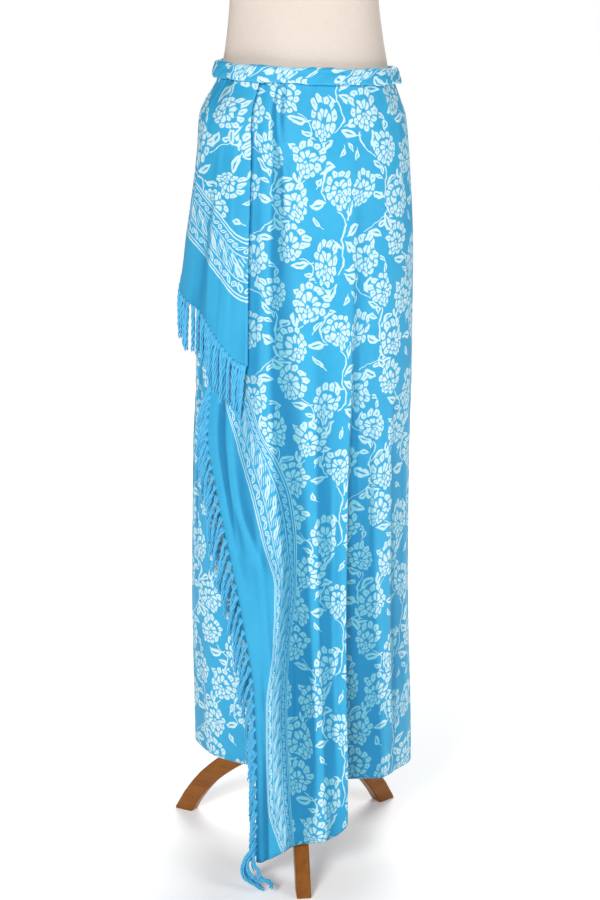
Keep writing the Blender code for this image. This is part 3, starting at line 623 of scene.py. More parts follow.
# %% Padded form
# height, centre x, centre y, half width, half depth
FORM = (
    (0.985, 0.007, 0, 0.138, 0.101), (0.989, 0.007, 0, 0.1475, 0.11), (1, 0.007, 0, 0.1515, 0.1148),
    (1.034, 0.0075, 0, 0.1512, 0.1146), (1.1, 0.007, 0, 0.1462, 0.1096), (1.146, 0.0055, 0, 0.1434, 0.107),
    (1.166, 0.005, 0, 0.1383, 0.1043), (1.182, 0.006, 0, 0.1313, 0.1003), (1.2, 0.007, 0, 0.1235, 0.0958),
    (1.225, 0.007, 0, 0.1173, 0.0915), (1.255, 0.0068, 0, 0.1122, 0.087), (1.308, 0.006, 0, 0.106, 0.0815),
    (1.35, 0.006, 0, 0.104, 0.08), (1.43, 0.006, -0.004, 0.114, 0.089), (1.5, 0.006, -0.01, 0.128, 0.103),
    (1.56, 0.006, -0.012, 0.136, 0.109), (1.62, 0.006, -0.004, 0.141, 0.098),
    (1.68, 0.006, 0.004, 0.157, 0.08), (1.712, 0.006, 0.008, 0.162, 0.066),
    (1.738, 0.006, 0.01, 0.14, 0.058), (1.758, 0.006, 0.01, 0.096, 0.052),
    (1.776, 0.006, 0.01, 0.064, 0.05), (1.8, 0.006, 0.01, 0.055, 0.049), (1.836, 0.006, 0.008, 0.055, 0.05),
)
FORM_SIDES = 128
RING_STRETCHES = ((0.985, 1, 7), (1, 1.68, 91), (1.68, 1.80, 61), (1.80, 1.836, 7))
form_heights = np.unique(np.concatenate([np.linspace(*stretch) for stretch in RING_STRETCHES]))[:, None]
form_turn = np.linspace(0.0, 2.0 * np.pi, FORM_SIDES, endpoint=False)[None, :]
form_x = from_table(FORM, 1, form_heights) + from_table(FORM, 3, form_heights) * np.sin(form_turn)
form_y = from_table(FORM, 2, form_heights) - from_table(FORM, 4, form_heights) * np.cos(form_turn)
form_face = np.stack([form_x, form_y, form_heights + 0.0 * form_x], axis=-1) + AXIS
form_quads = outward(form_face, closed_ring(form_face)[:-FORM_SIDES])
rim = np.arange(FORM_SIDES)
form_caps = [rim[::-1].tolist(), (rim + (len(form_heights) - 1) * FORM_SIDES).tolist()]
padded_form = new_piece("padded_form", form_face, form_quads.tolist() + form_caps)
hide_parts("form_torso")
print("padded form:", len(padded_form.data.polygons), "faces")

# %% [markdown]
# ## The fringe
# The weaver leaves the warp ends loose, divides them into locks and twists each one, so a lock is a
# short cord of three plies. Each ply is a tube that winds round the lock's middle line, spread flat where
# it leaves the cloth and drawn together below. All plies of all locks are one array of points, worked
# out together, because they are the same formula with other numbers.

# %% Twisted locks
PLIES = 3
PLY_RADIUS = 1.65 * MM
LOCK_RADIUS = 1.75 * MM
PLY_APART = 2.9 * MM
LOCK_RINGS = 18
PLY_SIDES = 6
# share of a lock by which its plies have gathered, and share from which they come loose
GATHERED, LOOSE = 0.22, 0.72
# length round a ply in its map, and turns that the plies make about each other
PLY_WRAP = 8.0 * MM
TWISTS = 2.0
DOWN = np.array([0.0, 0.0, -1.0])
FLAT = np.array([1.0, 1.0, 0.0])
chance = np.random.default_rng(7)


def twisted_locks(name, lines, along):
    """Locks in one mesh. lines holds each lock's middle line, along the direction of its cloth edge.

    A ply's centre is the middle line plus the lock's radius times (cosine, sine) of its own angle plus
    the twist, in the plane across the line. At the root the plies lie side by side along the edge.
    """
    count, rings = lines.shape[:2]
    t = np.linspace(0.0, 1.0, rings)[None, None, :, None]
    heading = unit(np.gradient(lines, axis=1))
    edge = along[:, None, :]
    first = unit(edge - heading * np.sum(edge * heading, axis=-1, keepdims=True))
    second = np.cross(heading, first)
    start = chance.uniform(0.0, 2.0 * np.pi, (count, 1, 1, 1))
    ply = np.arange(PLIES)[None, :, None, None]
    turn = start + 2.0 * np.pi * (ply / PLIES + TWISTS * t)
    gathered = eased(limited(t / GATHERED))
    swung = LOCK_RADIUS * (1.0 + 0.5 * limited((t - LOOSE) / (1.0 - LOOSE)) ** 2) * gathered
    flat = (ply - 0.5 * (PLIES - 1)) * PLY_APART * (1.0 - gathered)
    centre = lines[:, None] + first[:, None] * (np.cos(turn) * swung + flat)
    centre = centre + second[:, None] * np.sin(turn) * swung
    side = np.linspace(0.0, 2.0 * np.pi, PLY_SIDES, endpoint=False)[:, None]
    radius = PLY_RADIUS * (1.0 - 0.35 * t**3) * np.where(t >= 1.0, 0.4, 1.0)
    radius = radius * chance.uniform(0.85, 1.15, (count, PLIES, 1, 1))
    around = first[:, None, :, None, :] * np.cos(side) + second[:, None, :, None, :] * np.sin(side)
    tubes = count * PLIES
    points = (centre[..., None, :] + radius[..., None, :] * around).reshape(tubes, rings, PLY_SIDES, 3)
    index = np.arange(rings * PLY_SIDES).reshape(rings, PLY_SIDES)
    beside = np.roll(index, -1, axis=1)
    quads = np.stack([index[:-1], beside[:-1], beside[1:], index[1:]], axis=-1).reshape(-1, 4)
    starts = (np.arange(tubes) * rings * PLY_SIDES)[:, None, None]
    caps = np.stack([index[0][::-1], index[-1]]) + starts
    faces = (quads + starts).reshape(-1, 4).tolist() + caps.reshape(-1, PLY_SIDES).tolist()
    wound = np.linspace(0.0, PLY_WRAP, PLY_SIDES)
    return new_piece(name, points, faces, {"yarn": pair(wound, run_along(points, 1))})


def hanging(root, arch, away_way, side_way, length, lean_away, lean_side, phase, swing):
    """Middle lines of hanging locks: out of the root, over, and down, with a lean and a slow wave.

    The way down falls as the share of the length. The way out is eased, so that the lock leaves the
    cloth first and hangs after, and the wave is a sine that grows towards the tip.
    """
    t = np.linspace(0.0, 1.0, LOCK_RINGS)[None, :, None]
    length, lean_away, lean_side, phase, swing = (
        values[:, None, None] for values in (length, lean_away, lean_side, phase, swing)
    )
    over = (arch[:, None] + away_way[:, None] * lean_away) * (1.0 - (1.0 - t) ** 3)
    sideways = side_way[:, None] * (lean_side * t + swing * np.sin(phase + 5.0 * t) * t)
    return root[:, None] + over + DOWN * length * t + sideways


def draws(count, ranges):
    """So many numbers drawn by chance from each range, in the order of the ranges."""
    return [chance.uniform(low, high, count) for low, high in ranges]


# %% Upper fringe
LOCK_LENGTH = 0.067
# how far a lock starts inside the cloth's edge, in m, and under its outer face, in mm
IN_CLOTH, UNDER_FACE = 1.2 * MM, 0.4
UPPER_LOCKS = 26
# share at which the locks start, the share they cover and the power that spaces them
UPPER_SPACING = (0.012, 0.973, 0.7)
# how far a lock stands off along the cloth before it hangs, in m
UPPER_ARCH = 0.003
# ranges of a lock's length as a factor, its lean away and aside in m, its wave's start and swing in m
UPPER_RANGES = ((0.86, 1.06), (0, 0.005), (-0.006, 0.006), (0, 6), (0.0008, 0.0034))
first_spot, spread, power = UPPER_SPACING
spots = first_spot + spread * np.linspace(0.0, 1.0, UPPER_LOCKS) ** power
angle, height, out = fall_points(spots, np.array(1.0))
roots = on_body(angle, height, out - UNDER_FACE) - DOWN * IN_CLOTH
edge_way = unit(np.gradient(roots, axis=0))
radial = unit((roots - AXIS) * FLAT)
off_cloth = np.cross(edge_way, radial)
off_cloth *= -np.sign(off_cloth[:, 2:])
length, away, *aside = draws(UPPER_LOCKS, UPPER_RANGES)
length = LOCK_LENGTH * length * (0.92 + 0.30 * spots)
side_way = np.cross(radial, -DOWN)
upper_lines = hanging(roots, off_cloth * UPPER_ARCH, radial, side_way, length, away, *aside)
upper_fringe = twisted_locks("upper_fringe", upper_lines, edge_way)
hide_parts("fringe_upper")
print("upper fringe:", UPPER_LOCKS, "locks of", round(1000 * LOCK_LENGTH), "mm")

# %% [markdown]
# ## The lower fringe
# Down the front layer's edge the locks hang one over another, so they lie in three depths, and each
# leans a little off the steep edge. At the corner four longer ones curl and twist together near the
# floor. Their middle lines are drawn through a few given points.

# %% Lower fringe
# middle lines of the four locks tangled at the corner: right of, behind and above the axis's foot, in mm
CORNER_LOCKS = (
    (
        (-65, -163, 76), (-71, -169, 64), (-79, -174, 53), (-86, -178, 42), (-88, -182, 31),
        (-83, -186, 19), (-74, -189, 15), (-65, -193, 11), (-56, -196, 8),
    ),
    (
        (-67, -163, 56), (-71, -171, 48), (-70, -177, 40), (-64, -182, 32), (-61, -186, 24),
        (-55, -190, 21), (-47, -193, 20), (-42, -197, 15), (-45, -200, 10),
    ),
    (
        (-64, -163, 64), (-75, -170, 49), (-81, -175, 39), (-79, -180, 30), (-71, -184, 22),
        (-64, -188, 19), (-53, -191, 19), (-45, -195, 16), (-42, -198, 11),
    ),
    (
        (-67, -163, 52), (-76, -168, 43), (-84, -172, 32), (-82, -175, 20), (-75, -179, 14),
        (-67, -183, 11), (-61, -186, 8), (-58, -190, 6), (-55, -193, 5),
    ),
)
# number, spacing, arch and ranges as for the upper fringe, then the depths that the locks take by
# turns, in m, and how far above the floor a lock ends at least
LOWER_LOCKS = 42
LOWER_SPACING = (0.380, 0.565, 1.2)
LOWER_ARCH = 0.009
LOWER_RANGES = ((0.95, 1.25), (0, 0.002), (0.002, 0.016), (0, 6), (0.0012, 0.0045))
LOCK_DEPTHS = (0.0015, 0.0050, 0.0030)
OFF_FLOOR = 6.0 * MM
# share from which the locks lean back, the share over which they begin to, and how far, in m
BACK_FROM, BACK_OVER, LEAN_BACK = 0.60, 0.37, 0.004
first_spot, spread, power = LOWER_SPACING
spots = first_spot + spread * np.linspace(0.0, 1.0, LOWER_LOCKS) ** power
edge_points = on_body(*front_points(np.zeros(LOWER_LOCKS), spots))
inner_points = on_body(*front_points(np.full(LOWER_LOCKS, 0.25), spots))
edge_way = unit(np.gradient(edge_points, axis=0))
off_cloth = edge_points - inner_points
off_cloth = unit(off_cloth - edge_way * np.sum(off_cloth * edge_way, axis=1, keepdims=True))
front_way = np.cross(off_cloth, edge_way)
front_way *= -np.sign(front_way[:, 1:2])
roots = edge_points - off_cloth * IN_CLOTH - front_way * (UNDER_FACE * MM)
depth = np.array(LOCK_DEPTHS)[np.arange(LOWER_LOCKS) % len(LOCK_DEPTHS)]
low_down = limited((spots - BACK_FROM) / BACK_OVER)
length, away, aside, *wave = draws(LOWER_LOCKS, LOWER_RANGES)
length = np.minimum(LOCK_LENGTH * length, roots[:, 2] - OFF_FLOOR)
aside = aside * (1.0 - low_down) - LEAN_BACK * low_down
side_way = unit(off_cloth * FLAT)
away = depth + away
lower_lines = hanging(roots, off_cloth * LOWER_ARCH, front_way, side_way, length, away, aside, *wave)
tangle_knots = np.linspace(0.0, 1.0, len(CORNER_LOCKS[0]))
tangle = np.array(CORNER_LOCKS, float).transpose(1, 0, 2)[:, None] * MM + AXIS
tangle = np.repeat(tangle, LOCK_RINGS, axis=1)
ring_share = np.linspace(0.0, 1.0, LOCK_RINGS)[:, None, None] + np.zeros(tangle.shape[1:])
tangle_lines = smooth(tangle_knots, tangle, ring_share).transpose(1, 0, 2)
all_lines = np.concatenate([lower_lines, tangle_lines])
all_ways = np.concatenate([edge_way, np.repeat(edge_way[-1:], len(tangle_lines), axis=0)])
lower_fringe = twisted_locks("lower_fringe", all_lines, all_ways)
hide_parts("fringe_lower")
print("lower fringe:", len(all_lines), "locks")

# %% [markdown]
# ## Building with nodes
# The pattern is dyed, so it is drawn as masks in the material: a number that is one on the white and
# zero on the blue. To keep the formulas readable, a wire stands for a socket, and a sum or a product of
# wires adds the Math node that works it out. Effects that several finishes use are node groups, built
# once.

# %% Node helpers
TURN = 2.0 * math.pi


class Wire:
    """A socket to reckon with: each sign or function adds a node to its bench and gives a new wire."""

    def __init__(self, bench, socket):
        self.bench = bench
        self.socket = socket

    def __add__(self, other):
        return self.bench.math("ADD", self, other)

    def __sub__(self, other):
        return self.bench.math("SUBTRACT", self, other)

    def __rsub__(self, other):
        return self.bench.math("SUBTRACT", other, self)

    def __mul__(self, other):
        return self.bench.math("MULTIPLY", self, other)

    def __abs__(self):
        return self.bench.math("ABSOLUTE", self)

    def sine(self):
        return self.bench.math("SINE", self)

    def fit(self, times, plus, clamp=False):
        """This wire times a factor plus a term, in one node."""
        return self.bench.math("MULTIPLY_ADD", self, times, plus, clamp=clamp)

    def edge(self, softness):
        """One where the wire is above zero and zero below it, with an edge this soft."""
        return self.fit(1.0 / softness, 0.5, clamp=True)

    def length(self):
        return self.bench.vector("LENGTH", self, output=1)

    def parts(self):
        """The three numbers of a vector."""
        node = self.bench.tree.nodes.new("ShaderNodeSeparateXYZ")
        self.bench.feed(self, node.inputs[0])
        return [Wire(self.bench, socket) for socket in node.outputs]


class Bench:
    """A node tree to build in. Numbers and wires are both taken as inputs."""

    def __init__(self, tree):
        self.tree = tree

    def feed(self, value, socket):
        """Links a wire to a socket, or sets the socket to a plain value."""
        if isinstance(value, Wire):
            self.tree.links.new(value.socket, socket)
        else:
            socket.default_value = value

    def put(self, kind, inputs, output=0, **settings):
        """Adds a node with its settings and inputs, and gives the wire of one output."""
        node = self.tree.nodes.new(kind)
        for key, value in settings.items():
            setattr(node, key, value)
        for key, value in inputs.items():
            self.feed(value, node.inputs[key])
        return Wire(self, node.outputs[output])

    def use(self, group, inputs):
        """Places a group in the tree and gives its outputs by name."""
        node = self.tree.nodes.new("ShaderNodeGroup")
        node.node_tree = group
        for key, value in inputs.items():
            self.feed(value, node.inputs[key])
        return {socket.name: Wire(self, socket) for socket in node.outputs}

    def math(self, operation, *values, clamp=False):
        return self.put("ShaderNodeMath", dict(enumerate(values)), operation=operation, use_clamp=clamp)

    def vector(self, operation, *values, output=0):
        return self.put("ShaderNodeVectorMath", dict(enumerate(values)), output, operation=operation)

    def pair(self, one, other):
        return self.put("ShaderNodeCombineXYZ", {0: one, 1: other})

    def turned(self, place, angle):
        """The place turned about Z by an angle in radians."""
        return self.put("ShaderNodeVectorRotate", {0: place, "Angle": angle}, rotation_type="Z_AXIS")

    def mix(self, factor, one, other):
        return self.put("ShaderNodeMix", {0: factor, 2: one, 3: other}, 0, data_type="FLOAT")

    def mix_colour(self, factor, one, other, blend="MIX"):
        inputs = {0: factor, 6: one, 7: other}
        return self.put("ShaderNodeMix", inputs, 2, data_type="RGBA", blend_type=blend)

    def noise(self, place, scale, detail=2.0, output=0, distortion=0.0):
        """A noise at a place, or at the place times a factor for each axis if scale is three numbers."""
        if isinstance(scale, tuple):
            place, scale = self.vector("MULTIPLY", place, scale), 1.0
        inputs = {"Vector": place, "Scale": scale, "Detail": detail, "Distortion": distortion}
        return self.put("ShaderNodeTexNoise", inputs, output)

    def bent(self, place, source, scale, reach):
        """The place moved about in its plane by a noise at the source, by up to half the reach."""
        wobble = self.noise(source, scale, 1.0, "Color")
        shift = self.vector("MULTIPLY_ADD", wobble, (reach, reach, 0.0), (-0.5 * reach, -0.5 * reach, 0.0))
        return self.vector("ADD", place, shift)

    def uv(self, name):
        return self.put("ShaderNodeUVMap", {}, uv_map=name)

    def where(self):
        return self.put("ShaderNodeTexCoord", {}, "Object")

    def most(self, first, *others):
        for other in others:
            first = self.math("MAXIMUM", first, other)
        return first

    def least(self, first, *others):
        for other in others:
            first = self.math("MINIMUM", first, other)
        return first


def new_group(name, inputs, outputs):
    """An empty shader group: the bench to build it on, its input wires and its output sockets.

    inputs gives each input's value where nothing is linked, and outputs the kind of each output.
    """
    group = bpy.data.node_groups.new(name, "ShaderNodeTree")
    for label, start in inputs.items():
        kind = "NodeSocketVector" if isinstance(start, tuple) else "NodeSocketFloat"
        group.interface.new_socket(label, in_out="INPUT", socket_type=kind).default_value = start
    for label, kind in outputs.items():
        group.interface.new_socket(label, in_out="OUTPUT", socket_type="NodeSocket" + kind)
    bench = Bench(group)
    given = {socket.name: Wire(bench, socket) for socket in group.nodes.new("NodeGroupInput").outputs}
    return bench, given, group.nodes.new("NodeGroupOutput").inputs


def new_material(name, numbers):
    """A material with the numbers of its Principled shader, a bench, and that shader's inputs."""
    made = bpy.data.materials.new(name)
    made.use_nodes = True
    surface = made.node_tree.nodes["Principled BSDF"].inputs
    for key, value in numbers.items():
        surface[key].default_value = value
    return made, Bench(made.node_tree), surface


def bump(bench, surface, height, strength, distance):
    """Feeds a height in metres times distance to the shader's normal."""
    inputs = {"Height": height, "Strength": strength, "Distance": distance}
    bench.feed(bench.put("ShaderNodeBump", inputs), surface["Normal"])


print("helpers ready")

# %% [markdown]
# ## A motif found by its nearest place
# A printed cloth repeats a small layout of blooms and leaves. For each place in the layout, the group
# below wraps the point into the repeat, turns it and divides it by the motif's size, and keeps it if it
# is nearer than the ones before. The motif itself is then drawn only once, at the nearest place.

# %% Nearest motif group
REPEAT = (0.17, 0.20, 1.0)
ORIGIN = (0.0, 0.0, 0.0)
FAR = 9.0
bench, given, result = new_group(
    "nearest_motif",
    {"Place": ORIGIN, "Centre": ORIGIN, "Turn": 0.0, "Size": (1.0, 1.0, 1.0)}
    | {"Found": ORIGIN, "Distance": FAR},
    {"Found": "Vector", "Distance": "Float"},
)
nearest = bench.tree
half = tuple(0.5 * v for v in REPEAT)
local = bench.vector("SUBTRACT", given["Place"], given["Centre"])
local = bench.vector("WRAP", local, half, tuple(-v for v in half))
local = bench.vector("DIVIDE", bench.turned(local, given["Turn"]), given["Size"])
reach = local.length()
nearer = bench.math("LESS_THAN", reach, given["Distance"])
found = bench.put("ShaderNodeMix", {0: nearer, 4: given["Found"], 5: local}, 1, data_type="VECTOR")
bench.feed(found, result["Found"])
bench.feed(bench.least(reach, given["Distance"]), result["Distance"])


def nearest_of(bench, place, sites):
    """Runs the nearest motif group over a table of sites: u, v, half width, half height, turn."""
    found, distance = ORIGIN, FAR
    for u, v, wide, tall, turn in sites:
        inputs = {"Place": place, "Centre": (u * MM, v * MM, 0.0), "Turn": math.radians(turn)}
        inputs |= {"Size": (wide * MM, tall * MM, 1.0), "Found": found, "Distance": distance}
        outputs = bench.use(nearest, inputs)
        found, distance = outputs["Found"], outputs["Distance"]
    return found, distance


print("repeat:", REPEAT[0], "by", REPEAT[1], "m")

# %% [markdown]
# ## Blooms, leaves and stems
# The flower is a general one: three rings of fan-shaped petals, each ring set lower than the one round
# it, with thin blue lines between them. In polar form a petal is the room between its two neighbours
# less a gap, cut by a round tip, with a small eye, and a sine round the flower makes its edge ragged. A
# leaf is the space between two arcs with a slit along its middle, and the stems are slow waves with a
# quicker one on them. A slow noise bends them all together. The layout is the script's own and only
# keeps the scale and density of such a cloth.

# %% Flower layout
# u, v, half width, half height in mm, turn in degrees
BLOOMS = (
    (28, 160, 23, 30, -18),
    (86, 178, 21, 25, 28),
    (136, 150, 18, 32, 4),
    (60, 108, 18, 26, -30),
    (112, 94, 22, 27, 22),
    (154, 52, 19, 28, -12),
    (22, 52, 17, 28, 16),
    (88, 34, 23, 28, -26),
)
# petals, root radius, tip radius, gap, roundness of the tip, shift in petals, drop below the middle, eye
PETAL_RINGS = (
    (12, 0.66, 1.00, 0.042, 0.16, 0.0, 0.00, True),
    (9, 0.24, 0.62, 0.038, 0.13, 0.4, 0.13, False),
    (3, 0.00, 0.19, 0.034, 0.05, 0.2, 0.28, False),
)
PETAL_FAN = -0.22
EYE_RADIUS = 0.026
# middle u, swing, start of the wave, all in mm
STEMS = ((42, 25, 0), (97, 22, 60), (146, 19, 130))
STEM_CURL = 0.30
STEM_HALF_WIDTH = 1.05 * MM
LEAVES_ON_STEM = 9
LEAF_SIZE = 12.0
LEAF_LEAN = 48.0
# u, v in mm, turn in degrees, size in mm of the single small leaves
SPRIGS = (
    (8, 110, 60, 8), (16, 98, 115, 8), (56, 152, 30, 8), (62, 140, 100, 7),
    (110, 131, 200, 8), (120, 122, 150, 7), (124, 64, 300, 8), (50, 68, 20, 8),
    (58, 78, 80, 7), (122, 10, 240, 8), (56, 2, 330, 8), (162, 100, 120, 8),
)
# scale of a noise per metre, how far it bends the drawing in m
BENDS = ((22.0, 0.020), (95.0, 0.0060))


def leaf_sites():
    """Leaves left and right of each stem by turns, each at an angle to the stem's own direction."""
    number = np.arange(LEAVES_ON_STEM)
    waves = TURN / (1000.0 * REPEAT[1])
    v = (number + 0.5) * 1000.0 * REPEAT[1] / LEAVES_ON_STEM
    size = LEAF_SIZE * (1.0 + 0.15 * np.sin(1.7 * v))
    sites = [(u, v, size, size, turn) for u, v, turn, size in SPRIGS]
    for stem, (middle, swing, start) in reversed(list(enumerate(STEMS))):
        wave = waves * (v - start)
        u = middle + swing * (np.sin(wave) + STEM_CURL * np.sin(3.0 * wave))
        steep = swing * (np.cos(wave) + 3.0 * STEM_CURL * np.cos(3.0 * wave)) * waves
        side = np.where((number + stem) % 2, 1.0, -1.0)
        way = np.arctan2(1.0, steep) + side * math.radians(LEAF_LEAN)
        centre = np.stack([u + 1.45 * size * np.cos(way), v + 1.45 * size * np.sin(way)])
        sites = np.stack([*centre, size, size, -np.degrees(way)], axis=-1).tolist() + sites
    return sites


bench, given, result = new_group("floral", {"Place": ORIGIN}, {"Mask": "Float"})
floral = bench.tree
place = given["Place"]
for scale, amount in BENDS:
    place = bench.bent(place, given["Place"], scale, amount)

local, bloom_reach = nearest_of(bench, place, BLOOMS)
across_it, up_it, _ = local.parts()
fanned = across_it * up_it.fit(PETAL_FAN, 1.0)
petals = None
for count, root, tip, gap, roundness, shift, drop, eye in PETAL_RINGS:
    lowered = up_it + drop
    turn = bench.math("ARCTAN2", fanned, lowered)
    reach = bench.pair(fanned, lowered).length() * turn.fit(5.0, 0.8).sine().fit(0.05, 1.0)
    side = abs(bench.math("FRACT", turn.fit(count / TURN, 0.5 * count + shift)) - 0.5)
    width = reach * (TURN / count)
    before_tip = tip - side * side * (4.0 * roundness) - reach
    inside = bench.least((0.5 - side) * width - gap, before_tip, reach - root)
    if eye:
        from_middle = (reach - (root + 0.48 * (tip - root))) * 0.45
        inside = bench.least(inside, bench.pair(side * width, from_middle).length() - EYE_RADIUS)
    petals = bench.most(bench.least(petals, reach - (tip + gap)), inside) if petals else inside
petals = petals.edge(0.05)

leaves = leaf_sites()
local, _ = nearest_of(bench, place, leaves)
along_it, up_it, _ = local.parts()
square = along_it * along_it
offset = abs(square.fit(0.16, up_it))
half_leaf = (1.0 - square) * along_it.fit(-0.16, 0.47)
blade = (half_leaf - offset).edge(0.07)
slit = (square.fit(-0.30, 0.115) - offset).edge(0.06)
stalk = bench.least(0.075 - offset, -0.9 - along_it, along_it + 1.6).edge(0.06)
leaf = bench.most(bench.math("SUBTRACT", blade, slit, clamp=True), stalk)

u, v, _ = place.parts()
waves = TURN / REPEAT[1]
stems = []
for middle, swing, start in STEMS:
    wave = v.fit(waves, -waves * start * MM)
    line = (wave * 3.0).sine().fit(STEM_CURL, wave.sine()).fit(swing * MM, middle * MM)
    apart = bench.math("WRAP", u - line, 0.5 * REPEAT[0], -0.5 * REPEAT[0])
    stems.append(STEM_HALF_WIDTH - abs(apart))
behind = bench.most(leaf, bench.most(*stems).edge(0.0008)) * (bloom_reach - 1.07).edge(0.05)
bench.feed(bench.most(petals, behind), result["Mask"])
print("floral group:", len(floral.nodes), "nodes,", len(leaves), "leaves")

# %% [markdown]
# ## The end border
# Near its end such a cloth carries a border across its width: thin double lines, a narrow band of
# rings and slanting leaves, a wide band of long leaves on fine hatching, another narrow band, and
# double lines again. It is drawn in two numbers, the distance from the fringed end and along it.

# %% Border group
# distance from the end and half width in mm
BORDER_LINES = ((56.2, 1.1), (60.6, 0.9), (78.6, 0.7), (107.6, 0.7), (124.2, 0.9), (128.8, 1.1))
# distance from the end, step, shift along it and size in mm
BORDER_RINGS = ((69.5, 24, 0, 4.6), (115.8, 20, 4, 4.2))
# distance from the end, step and shift along it in mm, turn in degrees, size in mm, slenderness
BORDER_LEAVES = (
    (69.5, 24, 12, 52, 8.6, 0.36),
    (72.5, 24, 5.5, 20, 4.0, 0.45),
    (115.8, 20, 14, 128, 7.2, 0.34),
    (89.0, 32, 0, 62, 15.0, 0.25),
    (97.5, 32, 17, 68, 13.5, 0.25),
)
HATCH_STEP = 4.2 * MM
HATCH_BREAK = 16.0 * MM
bench, given, result = new_group("border", {"Place": ORIGIN}, {"Mask": "Float"})
border = bench.tree
place = bench.bent(given["Place"], given["Place"], 120.0, 0.0014)
from_end, along_end, _ = place.parts()


def within(value, middle, half_width):
    """Positive where value is inside a band about its middle, in metres."""
    return half_width * MM - abs(value - middle * MM)


def repeated(middle, step, shift, turn, size):
    """The place in a row of motifs along the border, wrapped, turned and divided by the motif's size."""
    half_step = 0.5 * step * MM
    local = bench.vector("SUBTRACT", place, (middle * MM, shift * MM, 0.0))
    local = bench.vector("WRAP", local, (1.0, half_step, 1.0), (-1.0, -half_step, -1.0))
    return bench.vector("DIVIDE", bench.turned(local, math.radians(turn)), (size * MM, size * MM, 1.0))


def ring_at(middle, step, shift, size):
    """A ring with a dot in it: the distance to the circle of radius 0.8, less half its line."""
    reach = repeated(middle, step, shift, 0.0, size).length()
    return bench.most(0.2 - abs(reach - 0.8), 0.3 - reach).edge(0.14)


def leaf_at(middle, step, shift, turn, size, slender):
    """A leaf with a slit: between two arcs whose half width is slender times one less the square."""
    along_it, up_it, _ = repeated(middle, step, shift, turn, size).parts()
    square = along_it * along_it
    blade = (square.fit(-slender, slender) - abs(up_it)).edge(0.08)
    slit = (square.fit(-0.9 * slender, 0.36 * slender) - abs(up_it)).edge(0.08)
    return bench.math("SUBTRACT", blade, slit, clamp=True)


lines = bench.most(*[within(from_end, *line) for line in BORDER_LINES]).edge(0.0008)
motifs = [ring_at(*row) for row in BORDER_RINGS] + [leaf_at(*row) for row in BORDER_LEAVES]
hatch = (along_end.fit(0.47, from_end) * (TURN / HATCH_STEP)).sine() - 0.25
broken = (from_end.fit(0.42, along_end) * (TURN / HATCH_BREAK)).sine() + 0.5
hatch = hatch.edge(0.6) * broken.edge(0.7) * within(from_end, 93.0, 13.2).edge(0.001)
bench.feed(bench.most(lines, *motifs, hatch * 0.8), result["Mask"])
print("border group:", len(border.nodes), "nodes")

# %% [markdown]
# ## Threads
# Plain weave crosses two sets of threads, one over and one under. Its height is the product of a sine
# along and a sine across, and the yarns' own unevenness is a fine noise stretched along them. The same
# group serves the rayon, with very fine threads, and the linen cover of the form, with coarser ones.

# %% Weave group
bench, given, result = new_group(
    "weave",
    {"Place": ORIGIN, "Threads per metre": 2400.0, "Slub": 0.5},
    {"Height": "Float", "Shade": "Float"},
)
weave = bench.tree
scaled = bench.vector("MULTIPLY", given["Place"], (math.pi, math.pi, math.pi))
scale_inputs = {0: scaled, "Scale": given["Threads per metre"]}
scaled = bench.put("ShaderNodeVectorMath", scale_inputs, operation="SCALE")
across_it, up_it, _ = scaled.parts()
slub_one = bench.noise(given["Place"], (1400.0, 60.0, 60.0))
slub_two = bench.noise(given["Place"], (60.0, 1400.0, 60.0))
slub = (slub_one + slub_two - 1.0) * given["Slub"]
bench.feed((across_it.sine() * up_it.sine()).fit(0.5, slub), result["Height"])
bench.feed(slub + 1.0, result["Shade"])
print("weave group:", len(weave.nodes), "nodes")

# %% [markdown]
# ## The batik cloth
# Rayon takes dye deeply and has a soft shine. The mask from the flowers or the border chooses between
# the white and the blue, the first 55 mm from the fringe stay plain, and a hem line runs along the long
# edges. The blue drifts a little from place to place, as hand dyeing does, and the waxed white keeps a
# trace of blue. Where the folds hide the light, both are multiplied by a darker blue tint, which is
# painted shade in the folds.

# %% Batik material
BLUE = (0.036, 0.365, 0.615, 1.0)
DEEP_BLUE = (0.024, 0.318, 0.565, 1.0)
WAXED_WHITE = (0.53, 0.73, 0.77, 1.0)
STITCH_BLUE = (0.02, 0.22, 0.45, 1.0)
FULL_WHITE = (1.0, 1.0, 1.0, 1.0)
# the darker tint that paints shade in the folds
PAINTED_FOLD_SHADE = (0.26, 0.56, 0.66, 1.0)
HEM_LINE = 7.0 * MM
STITCH_HALF_WIDTH = 0.7 * MM
STITCH_STEP = 2.6 * MM

batik, bench, surface = new_material(
    "batik_rayon", {"Sheen Weight": 0.06, "Sheen Roughness": 0.4, "Specular IOR Level": 0.22}
)
field, end = bench.uv("field"), bench.uv("end")
from_end = end.parts()[0]
flowers = bench.use(floral, {"Place": field})["Mask"]
edging = bench.use(border, {"Place": end})["Mask"]
past_border = (from_end - (END_OF_BORDER + 0.0005)).edge(0.0006)
past_plain = (from_end - (START_OF_BORDER - 0.001)).edge(0.0006)
mask = bench.mix(past_border, edging * past_plain, flowers)
threads = bench.use(weave, {"Place": field, "Threads per metre": 2600.0, "Slub": 0.18})
drift = bench.noise(field, 14.0, 3.0).fit(1.6, -0.45, clamp=True)
dye_and_painted_shade = bench.mix_colour(mask, bench.mix_colour(drift, BLUE, DEEP_BLUE), WAXED_WHITE)
